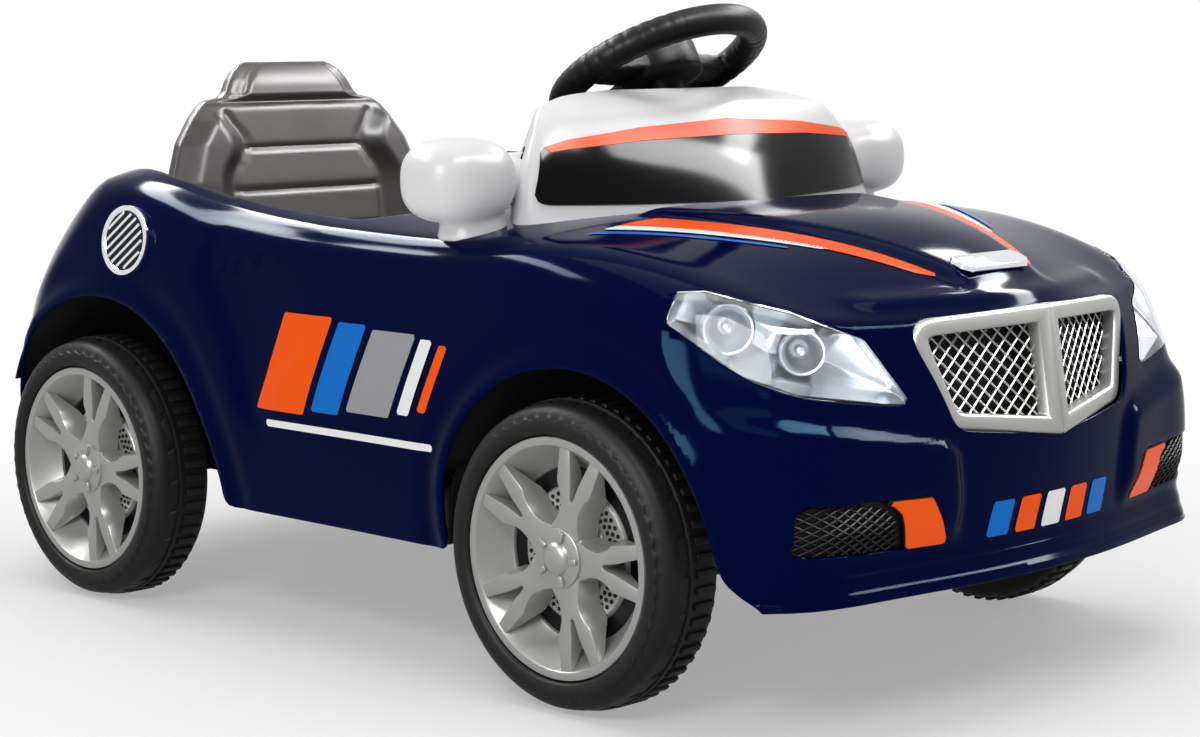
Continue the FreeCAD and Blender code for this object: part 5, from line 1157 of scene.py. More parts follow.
# The pan: half width, top, underside, front and rear, the roll of its front edge, bolsters and seams.
PAN_HALF, PAN_TOP, PAN_UNDER, PAN_FRONT, PAN_REAR = 149.5, 228, 206.5, -60.6, -352
ROLL_START, ROLL_REACH, ROLL_DROP = -82, 21.5, 16
BOLSTER_RISE, BOLSTER_FALL = 26, 12
PAN_SEAMS = (-190, -270)


def back_half(z):
    """Half width of the seat's back at a height."""
    return np.interp(z, (206, 366, 403, 425, 436, 442, 445, 450, 462, 470, 476, 479),
                     (150, 156, 141, 124, 113, 104, 86, 80, 73, 66, 57, 48))


def panel_half(z):
    """Half width of the waisted panel on the seat's back."""
    return PANEL_HALF - PANEL_PINCH * bell(z, PANEL_WAIST, PANEL_TALL)


class RIDE_OT_seat(RideOnOperator, bpy.types.Operator):
    """Model the moulded seat: backrest with panels and headrest, pan with bolsters, skirts"""

    bl_idname = "ride.seat"
    bl_label = "Seat"

    def execute(self, context):
        back = self.backrest()
        pan = self.pan()
        skirts = [block("skirt_front", (8, 300, 100), (-66, 0, 157), 2.5)]
        for sign in (-1, 1):
            skirts.append(block("skirt_side", (120, 8, 100), (-122, sign * 146, 157), 2.5))
        piece = join("seat_moulding", back, pan, *skirts)
        done(piece, "car", seat_plastic(), ["seat"], 50)
        return {"FINISHED"}

    def backrest(self):
        """A rounded slab in level rows, with relief on its front."""
        heights = np.concatenate([np.linspace(BACK_FOOT, BACK_NECK, 90),
                                  np.linspace(BACK_NECK + 1.5, BACK_TOP, 40)])
        turn = np.linspace(0, 2 * math.pi, 161)[:-1]
        cos, sin = np.cos(turn), np.sin(turn)
        front = smooth(0, 0.5, sin)
        rows = []
        for z in heights:
            half = float(back_half(z))
            crown = math.sqrt(max(1 - max(0, (z - CROWN_START) / CROWN_TALL) ** 2, 0.02))
            thick = np.interp(z, (206, 366, 433, 445, 479), (34, 34, 30, 27, 22)) / 2 * crown
            y = half * np.sign(cos) * np.abs(cos) ** 0.5
            level = np.full_like(y, z)
            middle = BACK_X - BACK_LEAN * (z - PAN_TOP)
            x = middle + thick * np.sign(sin) * np.abs(sin) ** 0.6 + front * self.relief(y, level, half)
            rows.append(np.column_stack([x, y, level]))
        points = np.concatenate(rows)
        ids = np.arange(len(points)).reshape(len(rows), len(turn))
        ends = [tuple(ids[0])[::-1], tuple(ids[-1])]
        return outward(from_points("backrest", points, tube_quads(ids).tolist() + ends))

    def relief(self, y, z, half):
        """How far the backrest's front stands out: side wings, a waisted panel and its seams."""
        away = np.abs(y)
        waist = panel_half(z)
        wings = smooth(waist + 2, waist + 26, away) * (1 - smooth(half - 22, half, away))
        found = 11.0 * wings * (1 - smooth(424, 436, z))
        found = found - 2.4 * bell(away, waist, 3.0) * (1 - smooth(430, 437, z))
        for level in BACK_SEAMS:
            found = found - 2.4 * bell(z, level, 2.4) * (1 - smooth(waist - 4, waist, away))
        found = found - 1.4 * bell(y, 0, 1.8) * (1 - smooth(436, 440, z))
        found = found - 3.4 * bell(z, 441, 3.0)
        pad = smooth(442, 449, z) * (1 - smooth(half - 22, half - 10, away))
        return found + 4.0 * pad - 1.8 * bell(away, np.maximum(half - 17, 20), 2.4) * smooth(444, 450, z)

    def pan(self):
        """A pan with bolsters along its sides, seams and a rolled front edge."""
        xs = np.concatenate([np.linspace(PAN_FRONT, -80, 14), np.linspace(-83, PAN_REAR, 60)])
        ys = np.linspace(-PAN_HALF, PAN_HALF, 121)
        away = np.abs(ys)
        rows = []
        for x in xs:
            roll = math.sqrt(max(1 - max(0, (x - ROLL_START) / ROLL_REACH) ** 2, 0))
            bolsters = BOLSTER_RISE * smooth(104, 128, away) * roll - BOLSTER_FALL * smooth(140, 150, away)
            seams = sum(1.6 * bell(x, place, 2.4) for place in PAN_SEAMS) * (away < 94)
            top = PAN_TOP + bolsters - seams - 2.2 * bell(away, 96, 3.0) - ROLL_DROP * (1 - roll)
            rows.append(np.column_stack([np.full_like(ys, x), ys, top]))
        grid = np.array(rows)
        low = grid.copy()
        low[..., 2] = PAN_UNDER
        ids = np.arange(grid.size // 3).reshape(grid.shape[:2])
        base = ids + ids.size
        rim, under = (np.concatenate([table[0], table[1:, -1], table[-1, ::-1][1:], table[::-1, 0][1:-1]])
                      for table in (ids, base))
        walls = np.stack([rim, np.roll(rim, -1), np.roll(under, -1), under], 1)
        faces = np.concatenate([quads_of(ids), quads_of(base)[:, ::-1], walls])
        return outward(from_points("pan", np.concatenate([grid, low]).reshape(-1, 3), faces.tolist()))


COLUMN_TILT = -28.8
COLUMN = moved(103, 0, 474) @ turned(COLUMN_TILT, "Y")
RING, RING_THICK = 0.0855, 0.0128
# The dish in the hub: radius, floor and depth. The grips: inner radius, first and last angle, and ridges.
DISH, DISH_FLOOR, DISH_DEEP = 0.0275, 0.004, 0.0075
GRIP_INNER, GRIP_FROM, GRIP_TO = 0.068, 30, 150
RIDGES, RIDGE_DEEP = 46, 0.0005
HORN_RADIUS, HORN_RISE = 0.0258, 0.0055


class RIDE_OT_steering(RideOnOperator, bpy.types.Operator):
    """Model the steering wheel with its grips and spokes, and the horn button"""

    bl_idname = "ride.steering"
    bl_label = "Steering wheel"

    def execute(self, context):
        bpy.ops.mesh.primitive_torus_add(major_segments=96, minor_segments=28, major_radius=RING,
                                         minor_radius=RING_THICK)
        parts = [grab("wheel_ring")]
        parts.append(cylinder("wheel_hub", 36, 26, moved(0, 0, -1)))
        for turn in (90, -90, 180):
            spoke = block("wheel_spoke", (64, 30, 13), (58, 0, -1))
            for vertex in spoke.data.vertices:
                vertex.co.y *= 0.72 if vertex.co.x > 0.05 else 1.25
            parts.append(move_mesh(spoke, turned(turn, "Z")))
        piece = join("steering_wheel_rim", *parts)
        modify(piece, "REMESH", mode="VOXEL", voxel_size=1.7 * MM)
        modify(piece, "SMOOTH", factor=0.5, iterations=8)
        for vertex in piece.data.vertices:
            spot = vertex.co
            round_by = math.hypot(spot.x, spot.y)
            if round_by < DISH and spot.z > DISH_FLOOR:
                spot.z = max(DISH_FLOOR, spot.z - DISH_DEEP)
            elif round_by > GRIP_INNER:
                turn = abs(math.degrees(math.atan2(spot.y, spot.x)))
                held = GRIP_FROM < turn < GRIP_TO
                ridge = RIDGE_DEEP * math.sin(math.radians(turn) * RIDGES) if held else 0
                middle = Vector((spot.x, spot.y, 0)).normalized() * RING
                spot += (spot - middle).normalized() * min(ridge, 0)
        move_mesh(piece, COLUMN)
        done(piece, "steering", black_plastic(), ["steering_wheel"], 60)
        bpy.ops.mesh.primitive_uv_sphere_add(segments=48, ring_count=24, radius=1)
        horn = grab("horn_pad")
        low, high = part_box("horn_button")
        move_mesh(horn, Matrix.Diagonal((HORN_RADIUS, HORN_RADIUS, HORN_RISE, 1)))
        for vertex in horn.data.vertices:
            spot = vertex.co
            spot.z *= 1 if spot.z > 0 else 0.8
        middle = (Vector(low) + Vector(high)) / 2
        move_mesh(horn, Matrix.Translation(middle) @ turned(COLUMN_TILT, "Y"))
        done(horn, "horn", silver_plastic(), ["horn_button"], 50)
        return {"FINISHED"}


WHEELS = (("front_right", 265, -1), ("front_left", 265, 1), ("rear_right", -335, -1), ("rear_left", -335, 1))
WHEEL_FACE = 295
# Profiles of the wheel's parts: radius, and depth behind the wheel's face.
TYRE = (
    (92.4, 34), (92.4, 5), (93.2, 2.4), (95, 1.2), (99, 0.4), (103.4, 0.3), (104.6, 0.8), (105.4, 2.4),
    (108.4, 3.4), (111.4, 5.2), (113.6, 8), (114.7, 12), (115, 15), (115.2, 24.6), (117.5, 25.2),
    (117.5, 27.4), (115.2, 28), (115.2, 50), (114.4, 55), (111.5, 58.4), (107, 59.8), (88, 59.8), (88, 40),
    (20, 40), (20, 65.5), (7, 65.5), (7, 34),
)
RIM = (
    (91.4, 33.8), (91.4, 4.6), (90.8, 3.4), (88, 3.0), (85.2, 3.4), (84.2, 4.6), (83.4, 6.4), (70, 25),
    (67, 27.4), (66, 31), (54, 31), (53, 28), (51.5, 26.6), (34, 26.6), (30, 29), (26, 28), (26, 10.5),
    (25, 9.2), (15.2, 9.2), (15.2, 25.5), (20.5, 25.5), (20.5, 33.8),
)
# A black ring in the trim's deepest groove: painted shade.
SHADE_RING = ((66.2, 29.2), (53.8, 29.2), (53.8, 30.6), (66.2, 30.6))
HUB_CAP = ((0.02, 1.2), (5, 1.4), (9, 2.2), (11.6, 3.6), (12.6, 5.6), (14.5, 6.1), (21.4, 6.2), (22.6, 6.8),
           (22.8, 8.8), (14, 8.9), (14, 12), (0.02, 12))
SPOKES, SPOKE_ROOT = 5, 26.5
LUGS, TREAD_BARS = 26, 60


def wheel_place(x, sign):
    """Where a wheel's face goes, turned outward."""
    return moved(x, sign * WHEEL_FACE, AXLE_Z) @ turned(0 if sign < 0 else 180, "Z")


def four(piece, stem, finish, nodes, angle):
    """Copies of a wheel part on the four wheels."""
    for corner, x, sign in WHEELS:
        made = copy_piece(piece, "%s_%s" % (stem, corner), wheel_place(x, sign))
        done(made, "wheel_" + corner, finish, [nodes + "_" + corner], angle)
    bpy.data.objects.remove(piece)


class RIDE_OT_tyres(RideOnOperator, bpy.types.Operator):
    """Model a tyre with its sidewall line, shoulder lugs and tread bars, four times"""

    bl_idname = "ride.tyres"
    bl_label = "Tyres"

    def execute(self, context):
        tread = lathe("tyre_blank", TYRE, 312)
        for vertex in tread.data.vertices:
            round_by = math.hypot(vertex.co.x, vertex.co.z) / MM
            if vertex.co.y < 0.003 and 103 < round_by < 107:
                wave = 1 + 0.9 * math.sin(52 * math.atan2(vertex.co.z, vertex.co.x)) / round_by
                vertex.co.x *= wave
                vertex.co.z *= wave
        lug = block("lug", (23.4, 16, 8), (0, 15, 112.7))
        for vertex in lug.data.vertices:
            spot = vertex.co
            spot.x += 0.0035 if spot.y < 0.01 else -0.0035
            if spot.y < 0.01:
                spot.x *= 0.9
                spot.z -= 0.0042 if spot.z > 0.112 else 0.003
                spot.y += 0.0005
        spread_round(chamfer(lug, 1.4, 3), LUGS)
        tie = spread_round(block("bar", (6.2, 20, 6), (0, 42, 114.9), 1.2), TREAD_BARS)
        four(join("tyre_model", tread, lug, tie), "tyre_tread", tyre_plastic(), "tyre", 40)
        return {"FINISHED"}


class RIDE_OT_trims(RideOnOperator, bpy.types.Operator):
    """Model a wheel trim with forked spokes over a disc, with black dots of painted shade for its holes and a
    black ring of painted shade in its deepest groove, four times
    """

    bl_idname = "ride.trims"
    bl_label = "Wheel trims"

    def execute(self, context):
        rim = lathe("rim", RIM, 120)
        spoke = spread_round(self.spoke(), SPOKES)
        # The black ring in the deepest groove is painted shade.
        well = lathe("well", SHADE_RING)
        # Black dots on the disc where its holes would be are painted shade; the disc is not cut through.
        hole_shades = []
        for radius, shift in ((38.5, 0), (43, 4), (47.5, 0)):
            hole = chamfer(cylinder("hole", 1.7, 1, turned(90, "X"), 12), 0.2, 1)
            move_mesh(hole, turned(shift, "Y") @ moved(radius, 26.3, 0))
            hole_shades.append(spread_round(hole, 45))
        for part in (rim, spoke, well, *hole_shades):
            part.data.materials.append(trim_plastic() if part in (rim, spoke) else black_plastic())
        model = join("trim_model", rim, spoke, well, *hole_shades)
        four(model, "wheel_face", trim_plastic(), "wheel_trim", 32)
        return {"FINISHED"}

    def spoke(self):
        """One forked spoke: waisted sides, two prongs and a face that rises to the rim."""
        reach, prong = 85, (math.radians(14.5), math.radians(7.5))
        tips = [(reach * math.cos(turn), reach * math.sin(turn)) for turn in prong]
        half = [(17, 15.5), (22, 14.2), (28, 11.4), (34, 9.8), (40, 9.6), (46, 11), (51, 13.4), (55, 16.4),
                (58, 17.6), *tips, (60, 4), (47, 1.6)]
        corners = half + [(45.5, 0)] + [(x, -z) for x, z in reversed(half)]
        piece = polygon("spoke", [(x, SPOKE_ROOT, z) for x, z in corners])
        edit(extrude(0, -9.75, 0), extrude(0, -9.75, 0))
        for vertex in piece.data.vertices:
            spot = vertex.co
            away = math.hypot(spot.x, spot.z) / MM
            face = float(np.interp(away, (22, 34, 60, 85), (8.6, 7.4, 5.6, 4.4)))
            foot = float(np.interp(away, (22, 50, 62, 85), (26.5, 26.5, 20, 9.5)))
            share = (spot.y / MM - 7) / 19.5
            spoon = float(np.interp(away, (20, 32, 54, 66), (0, 5.5, 5.5, 0))) * (abs(spot.z) > 0.0055)
            spot.z += math.copysign(spoon * MM * share ** 2, spot.z)
            spot.y = (face + (foot - face) * share) * MM
        return soften(outward(piece), 0.8, 2, 50)


class RIDE_OT_hub_caps(RideOnOperator, bpy.types.Operator):
    """Model a domed hub cap with five lugs, four times"""

    bl_idname = "ride.hub_caps"
    bl_label = "Hub caps"

    def execute(self, context):
        dome = lathe("dome", HUB_CAP, 64)
        lug = spread_round(block("lug", (8.6, 3.2, 4.6), (17.4, 5.0, 0), 1.2), SPOKES)
        four(join("cap_model", dome, lug), "hub_dome", trim_plastic(), "hub_cap", 40)
        return {"FINISHED"}


LAMP_AXIS = Vector((1, -1, 0)).normalized()
LAMP_FLOOR = 388


def slanted(u, z, deep):
    """A place given in the headlamp's plane and by its depth along the lamp's axis."""
    return Vector(((u + deep) * SLANT, (u - deep) * SLANT, z))


def lens_depth(u, z):
    """The depth at which the body's surface lies over a place in the headlamp's plane."""
    spot, _ = hit_body(slanted(u, z, 560), -LAMP_AXIS)
    return (spot.x - spot.y) * SLANT


class RIDE_OT_headlamps(RideOnOperator, bpy.types.Operator):
    """Model the clear lenses and the chromed bowls with their barrel reflectors"""

    bl_idname = "ride.headlamps"
    bl_label = "Headlamps"

    def execute(self, context):
        for side, sign in (("right", -1), ("left", 1)):
            where = functools.partial(lamp_distance, sign=sign)
            lamp = set_in("lamp_lens_" + side, where, 0.4, sizes().seam / MM, 2)
            done(lamp, "car", lens(), ["headlamp_lenses"])
        bowl = self.bowl()
        for piece in (bowl, mirror_piece(bowl, "lamp_bowl_left")):
            done(piece, "car", reflector_plate(), ["headlamp_bowls"])
        return {"FINISHED"}

    def bowl(self):
        """A bowl that follows the lens's outline, with two barrels on its floor."""
        loop = rounded(LAMP, 4)
        middle = loop.mean(0)
        inner = loop + (middle - loop) / np.linalg.norm(middle - loop, axis=1, keepdims=True) * 1.2
        rows = [[], [], []]
        for flat in inner:
            rim = lens_depth(*flat) - 4.5
            wall = LAMP_FLOOR + 3 + 0.25 * max(0, rim - LAMP_FLOOR)
            for row, pull, deep in zip(rows, (0, 0.1, 0.6), (rim, wall, LAMP_FLOOR + 2)):
                row.append(slanted(*(flat + (middle - flat) * pull), deep))
        ids = np.arange(3 * len(inner)).reshape(3, len(inner))
        faces = tube_quads(ids).tolist() + [tuple(ids[-1])]
        parts = [outward(from_points("lamp_bowl", sum(rows, []), faces))]
        parts[0].data.flip_normals()
        turn = LAMP_AXIS.to_track_quat("Z", "X").to_matrix().to_4x4()
        for along, up, radius in ((0.27, 0.6, 19), (0.57, 0.4, 17)):
            flat = lamp_flat(along, up)
            barrel = self.barrel(radius, min(34, lens_depth(*flat) - LAMP_FLOOR - 12))
            parts.append(move_mesh(barrel, moved(*slanted(*flat, LAMP_FLOOR + 1)) @ turn))
        return join("lamp_bowl_right", *parts)

    def barrel(self, radius, tall):
        """A reflector: rim, stepped outside, bright cone and bulb."""
        band = radius + 1.2
        profile = [(radius, 0), (radius, 0.5 * tall), (band, 0.55 * tall), (band, 0.75 * tall),
                   (radius, 0.8 * tall), (radius, tall - 1), (radius - 1, tall), (radius - 2, tall - 0.5)]
        profile += [(radius * (0.86 - 0.62 * s), tall - 1 - 0.75 * tall * math.sqrt(s))
                    for s in (0.1, 0.3, 0.6, 0.85)]
        profile += [(4.2, 0.3 * tall), (4.2, 0.6 * tall), (3, 0.68 * tall), (0.02, 0.72 * tall)]
        made = lathe("barrel", profile, 48, closed=False)
        return move_mesh(made, turned(90, "X"))


def grille_spot(y, z, deep=0.0):
    """A place on the grille's raked and bowed face, or deep behind it."""
    return (501 - deep - abs(y) * 28 / 142 + (301 - z) * 15 / 97, y, z)


def net(name, loop, pitch, rise, rib, thick, place):
    """Crossed bars clipped to an outline in the plane across and up, set in space by place."""
    low, high = loop.min(0), loop.max(0)
    tall, slope = high[1] - low[1], math.hypot(pitch, rise)
    start = low[0] - tall * pitch / rise
    count = int((high[0] - start + tall * pitch / rise) / pitch) + 2
    run = np.arange(0, tall * slope / rise, 1.0)
    points, faces = [], []
    for lean in (-1, 1):
        along = np.array((pitch, lean * rise)) / slope
        cross = np.array((-along[1], along[0])) * rib / 2
        for k in range(count):
            spots = np.array((start + k * pitch, low[1] if lean > 0 else high[1])) + run[:, None] * along
            inside = outline_distance(spots, loop) < 0
            for group in np.split(np.arange(len(run)), np.where(np.diff(inside.astype(int)) != 0)[0] + 1):
                if len(group) < 3 or not inside[group[0]]:
                    continue
                marks = spots[group[::4]] if len(group) > 8 else spots[group[[0, -1]]]
                marks = np.vstack([marks, spots[group[-1]]])
                faces += tube_quads(len(points) + np.arange(4 * len(marks)).reshape(-1, 4)).tolist()
                for mark in marks:
                    points += [place(*(mark - cross), 0.0), place(*mark, -0.4 * thick),
                               place(*(mark + cross), 0.0), place(*mark, thick)]
    return outward(from_points(name, points, faces))


def fillet(before, corner, after, reach):
    """Points of a round corner that starts and ends at reach from the corner."""
    before, corner, after = Vector(before), Vector(corner), Vector(after)
    start = corner + (before - corner).normalized() * reach
    end = corner + (after - corner).normalized() * reach
    steps = [k / 6 for k in range(7)]
    return [tuple(start * (1 - t) ** 2 + corner * 2 * t * (1 - t) + end * t ** 2) for t in steps]


class RIDE_OT_grille(RideOnOperator, bpy.types.Operator):
    """Model the satin grille frame with its centre bar and the wire mesh behind it"""

    bl_idname = "ride.grille"
    bl_label = "Grille"

    def execute(self, context):
        halves, nets, backs = [], [], []
        for sign in (-1, 1):
            top, high, low, foot = [(sign * y, z) for y, z in GRILLE[1:5]]
            corners = [top, foot, *fillet(foot, low, high, 11.9), *fillet(low, high, top, 28.6)]
            piece = polygon("frame_half", [grille_spot(*corner) for corner in corners])
            edit((bpy.ops.mesh.inset, {"thickness": 0.0125}), (bpy.ops.mesh.delete, {"type": "FACE"}),
                 (bpy.ops.mesh.select_all, {"action": "SELECT"}), extrude(-13.8, 0, 0))
            soften(outward(piece), 2.4, 3, 40)
            for vertex in piece.data.vertices:
                if abs(vertex.co.y) < 1e-5:
                    vertex.co.y = 0
            halves.append(piece)
            opening = rounded([(sign * y, z) for y, z in ((11, 290), (11, 215), (99, 225), (128, 287))], 3)
            nets.append(net("net", opening, 13, 12, 1.7, 1.4, lambda y, z, d: grille_spot(y, z, 11.5 + d)))
            behind = [grille_spot(sign * y, z, 24) for y, z in ((0, 298), (0, 207), (108, 219), (139, 294))]
            backs.append(plate("grille_back", behind, (-2, 0, 0), 0.5))
        done(join("grille_back", *backs), "car", black_plastic())
        surround = join("grille_surround", *halves)
        done(surround, "car", silver_plastic(), ["grille_frame"], 35)
        done(join("grille_net", *nets), "car", silver_plastic(), ["grille_mesh"], 30)
        return {"FINISHED"}


class RIDE_OT_fog_lamps(RideOnOperator, bpy.types.Operator):
    """Model the black diamond fog grilles, their orange accents and the tail lamps"""

    bl_idname = "ride.fog_lamps"
    bl_label = "Fog grilles and tail lamps"

    def execute(self, context):
        grilles, accents, edges, tails, backs = [], [], [], [], []
        for sign in (-1, 1):
            fog = functools.partial(front_distance, shape=FOG, radius=6, sign=sign)
            accent = functools.partial(front_distance, shape=FOG_ACCENT, radius=5, sign=sign)
            tail = functools.partial(tail_lamp_distance, sign=sign)
            loop = rounded([(sign * -y, z) for y, z in FOG_GRILLE], 5)
            grilles += [set_in("fog_panel", fog, -4.2, -3.0, 2),
                        net("fog_net", loop, 11, 6.5, 1.7, 2.0, self.on_nose)]
            edges.append(set_in("accent_edge", accent, 0.2, 0.3, 2, finer=1))
            accents.append(set_in("accent", accent, 1.0, 1.3, 2, finer=2))
            tails.append(set_in("tail", tail, 0.6, 0.5, 2.5))
            backs.append(set_in("tail_back", tail, -4.5, -3.0, 1.5))
        done(join("fog_mesh", *grilles, *edges), "car", black_plastic(), ["fog_grilles"])
        done(join("fog_orange", *accents), "car", orange_plastic(), ["fog_accents"])
        done(join("tail_lenses", *tails), "car", lamp_red(), ["tail_lamps"])
        done(join("tail_backs", *backs), "car", black_plastic())
        return {"FINISHED"}

    def on_nose(self, y, z, deep):
        """A place sunk under the nose's surface."""
        spot, normal = hit_body((700, y, z), (-1, 0, 0))
        return tuple(spot - normal * (2.6 + deep))


def sink_top(piece, depth):
    """Inset a flat top and sink what is inside its rim."""
    activate(piece)
    edit((bpy.ops.mesh.select_mode, {"type": "FACE"}), (bpy.ops.mesh.select_all, {"action": "DESELECT"}))
    for face in piece.data.polygons:
        face.select = face.normal.z > 0.9
    bpy.ops.object.mode_set(mode="EDIT")
    bpy.ops.mesh.inset(thickness=0.004)
    bpy.ops.mesh.inset(thickness=0.001, depth=-depth * MM)
    bpy.ops.object.mode_set(mode="OBJECT")
    return piece


class RIDE_OT_badges(RideOnOperator, bpy.types.Operator):
    """Model the plain chromed bar on the hood and the ribbed filler cap"""

    bl_idname = "ride.badges"
    bl_label = "Badge and filler cap"

    def execute(self, context):
        self.hood_bar()
        self.filler_cap()
        return {"FINISHED"}

    def hood_bar(self):
        """A bar with cut corners and sloping sides, drawn in by 1.2 mm all round."""
        corners = ((-13, -40, 0), (-13, 40, 0), (-6, 44, 0), (6, 44, 0), (13, 36, 0), (13, -36, 0),
                   (6, -44, 0), (-6, -44, 0))
        bar = plate("hood_bar", corners, (0, 0, 7))
        for vertex in bar.data.vertices:
            if vertex.co.z > 0.004:
                vertex.co.x *= 0.86
                vertex.co.y *= 0.95
        edit((bpy.ops.mesh.inset, {"thickness": 0, "depth": -1.2 * MM}))
        soften(bar, 0.9, 3, 30)
        spot, normal = hit_body((446, 0, 600), (0, 0, -1))
        move_mesh(bar, moved(*(spot - normal * 2.6)) @ turned(22, "Y"))
        done(bar, "car", chrome(), ["hood_badge"], 35)

    def filler_cap(self):
        """A disc with a rim, and slanting ribs over a dark well."""
        disc = cylinder("filler_disc", 30.8, 8.5, moved(0, 0, 1.75))
        soften(sink_top(disc, 1.4), 0.8, 2, 30)
        ribs = []
        for y in range(-21, 22, 7):
            half = math.sqrt(24.5 ** 2 - y ** 2)
            rib = block("cap_rib", (2 * half, 3, 2.4), (0, y, 4.8), 0.8)
            ribs.append(move_mesh(rib, turned(38, "Z")))
        well = chamfer(cylinder("filler_well", 25.4, 1, moved(0, 0, 4.9)), 0.2, 1)
        disc = join("filler_disc", disc, *ribs)
        spot, normal = hit_body((-271, -500, 326), (0, 1, 0))
        place = moved(*(spot - normal * 0.5)) @ normal.to_track_quat("Z", "Y").to_matrix().to_4x4()
        done(move_mesh(disc, place), "car", chrome(), ["filler_cap"], 35)
        done(move_mesh(well, place), "car", black_plastic())


class RIDE_OT_wells(RideOnOperator, bpy.types.Operator):
    """Model the dark liners that close the wheel wells above the tyres"""

    bl_idname = "ride.wells"
    bl_label = "Wheel wells"

    def execute(self, context):
        liners = [self.liner(centre, radius, sign) for centre, radius in ARCHES for sign in (-1, 1)]
        for sign in (-1, 1):
            liners.append(block("well_flange", (30, 112, 2), (103, sign * 206, 105.5), 0.6))
            liners.append(block("well_ledge", (330, 22, 2), (-308, sign * 156, 105.5), 0.6))
        liners.append(block("tail_sill", (20, 290, 2), (-493, 0, 112), 0.6))
        done(join("wheel_wells", *liners), "car", black_plastic())
        return {"FINISHED"}

    def liner(self, centre, radius, sign):
        """A liner with a lip that follows the flank, a roof and an inner wall round a hole."""
        wall, hole, turn, arc = LINERS[centre]
        lip, roof = radius + 2.5, radius + 13
        points = [(lip, sign * 281, 0), (roof, sign * 262, 0), (roof, sign * wall, 0), (hole, sign * wall, 0)]
        piece = from_points("liner", points, [], [(0, 1), (1, 2), (2, 3)])
        move_mesh(piece, turned(turn, "Y"))
        spin_round(48, arc)
        for vertex in piece.data.vertices:
            if abs(vertex.co.y) > 0.27:
                tuck = 2.5 if vertex.co.z > 0.05 else 17
                flank = np.interp(centre + vertex.co.x / MM, STATION_X, STATION_HALF)
                vertex.co.y = sign * (flank - tuck) * MM
            elif vertex.co.z > 0:
                vertex.co.z *= lip / roof
        thicken(piece, 1.5, offset=0.0)
        return outward(move_mesh(piece, moved(centre, 0, AXLE_Z)))


# The nodes that show as the CAD has them, by finish.
PLAIN = {
    steel: ("axle_nuts", "body_screws", "kingpins", "rear_axle", "steering_column", "stub_axle_left",
            "stub_axle_right", "tie_rod", "motor"),
    black_plastic: ("chassis_tray", "charging_socket", "column_bush", "control_box", "direction_lever",
                    "gearbox_case", "gearbox_cover", "knuckle_left", "knuckle_right", "pedal", "axle_spacers",
                    "battery_strap"),
    gear_nylon: ("drive_gear", "reduction_gear", "motor_pinion"),
    white_plastic: ("dashboard_panel",),
    battery_case: ("battery",),
    cable: ("wiring_loom",),
    orange_plastic: ("power_button",),
}


class RIDE_OT_works(RideOnOperator, bpy.types.Operator):
    """Finish the parts that show as the CAD has them"""

    bl_idname = "ride.works"
    bl_label = "Running gear"

    def execute(self, context):
        for finish, names in PLAIN.items():
            for name in names:
                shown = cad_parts[name]
                shown.data.materials.clear()
                shown.data.materials.append(finish())
        return {"FINISHED"}


# Lamps: name, place, aim, size and power. A streak also has a roll, and only gloss shows it.
SOFT_BOXES = (
    ("soft_top", (-0.1, 0.1, 2.6), (0, 0, 0.3), (2.6, 1.3), 34),
    ("soft_key", (1.5, -2.3, 2.1), (0.1, 0, 0.2), (1.3, 0.9), 26),
)
STREAKS = (
    ("streak_belt", (-1.9, -0.7, 2.1), (-0.1, -0.25, 0.33), (2.6, 0.3), 170, 0),
    ("streak_left", (0.5, 2.3, 2.1), (0.45, 0, 0.3), (2.2, 0.35), 120, 0),
    ("streak_nose", (2.1, 2.25, 2.6), (0.49, -0.1, 0.2), (2.1, 0.8), 300, -45),
    ("streak_front", (1.9, -0.3, 2.6), (0.42, -0.15, 0.25), (1.9, 0.45), 310, 0),
    ("streak_side", (0.3, -1.75, 0.85), (0.3, -0.27, 0.25), (0.6, 0.5), 58, 0),
)
CAMERA_PLACE = (1.5747, -1.603, 0.5003)
CAMERA_LENS, CAMERA_SENSOR = 76.53, 36
CAMERA_AZIMUTH, CAMERA_RISE, CAMERA_ROLL = math.radians(43.891), math.radians(7.3876), -0.005332


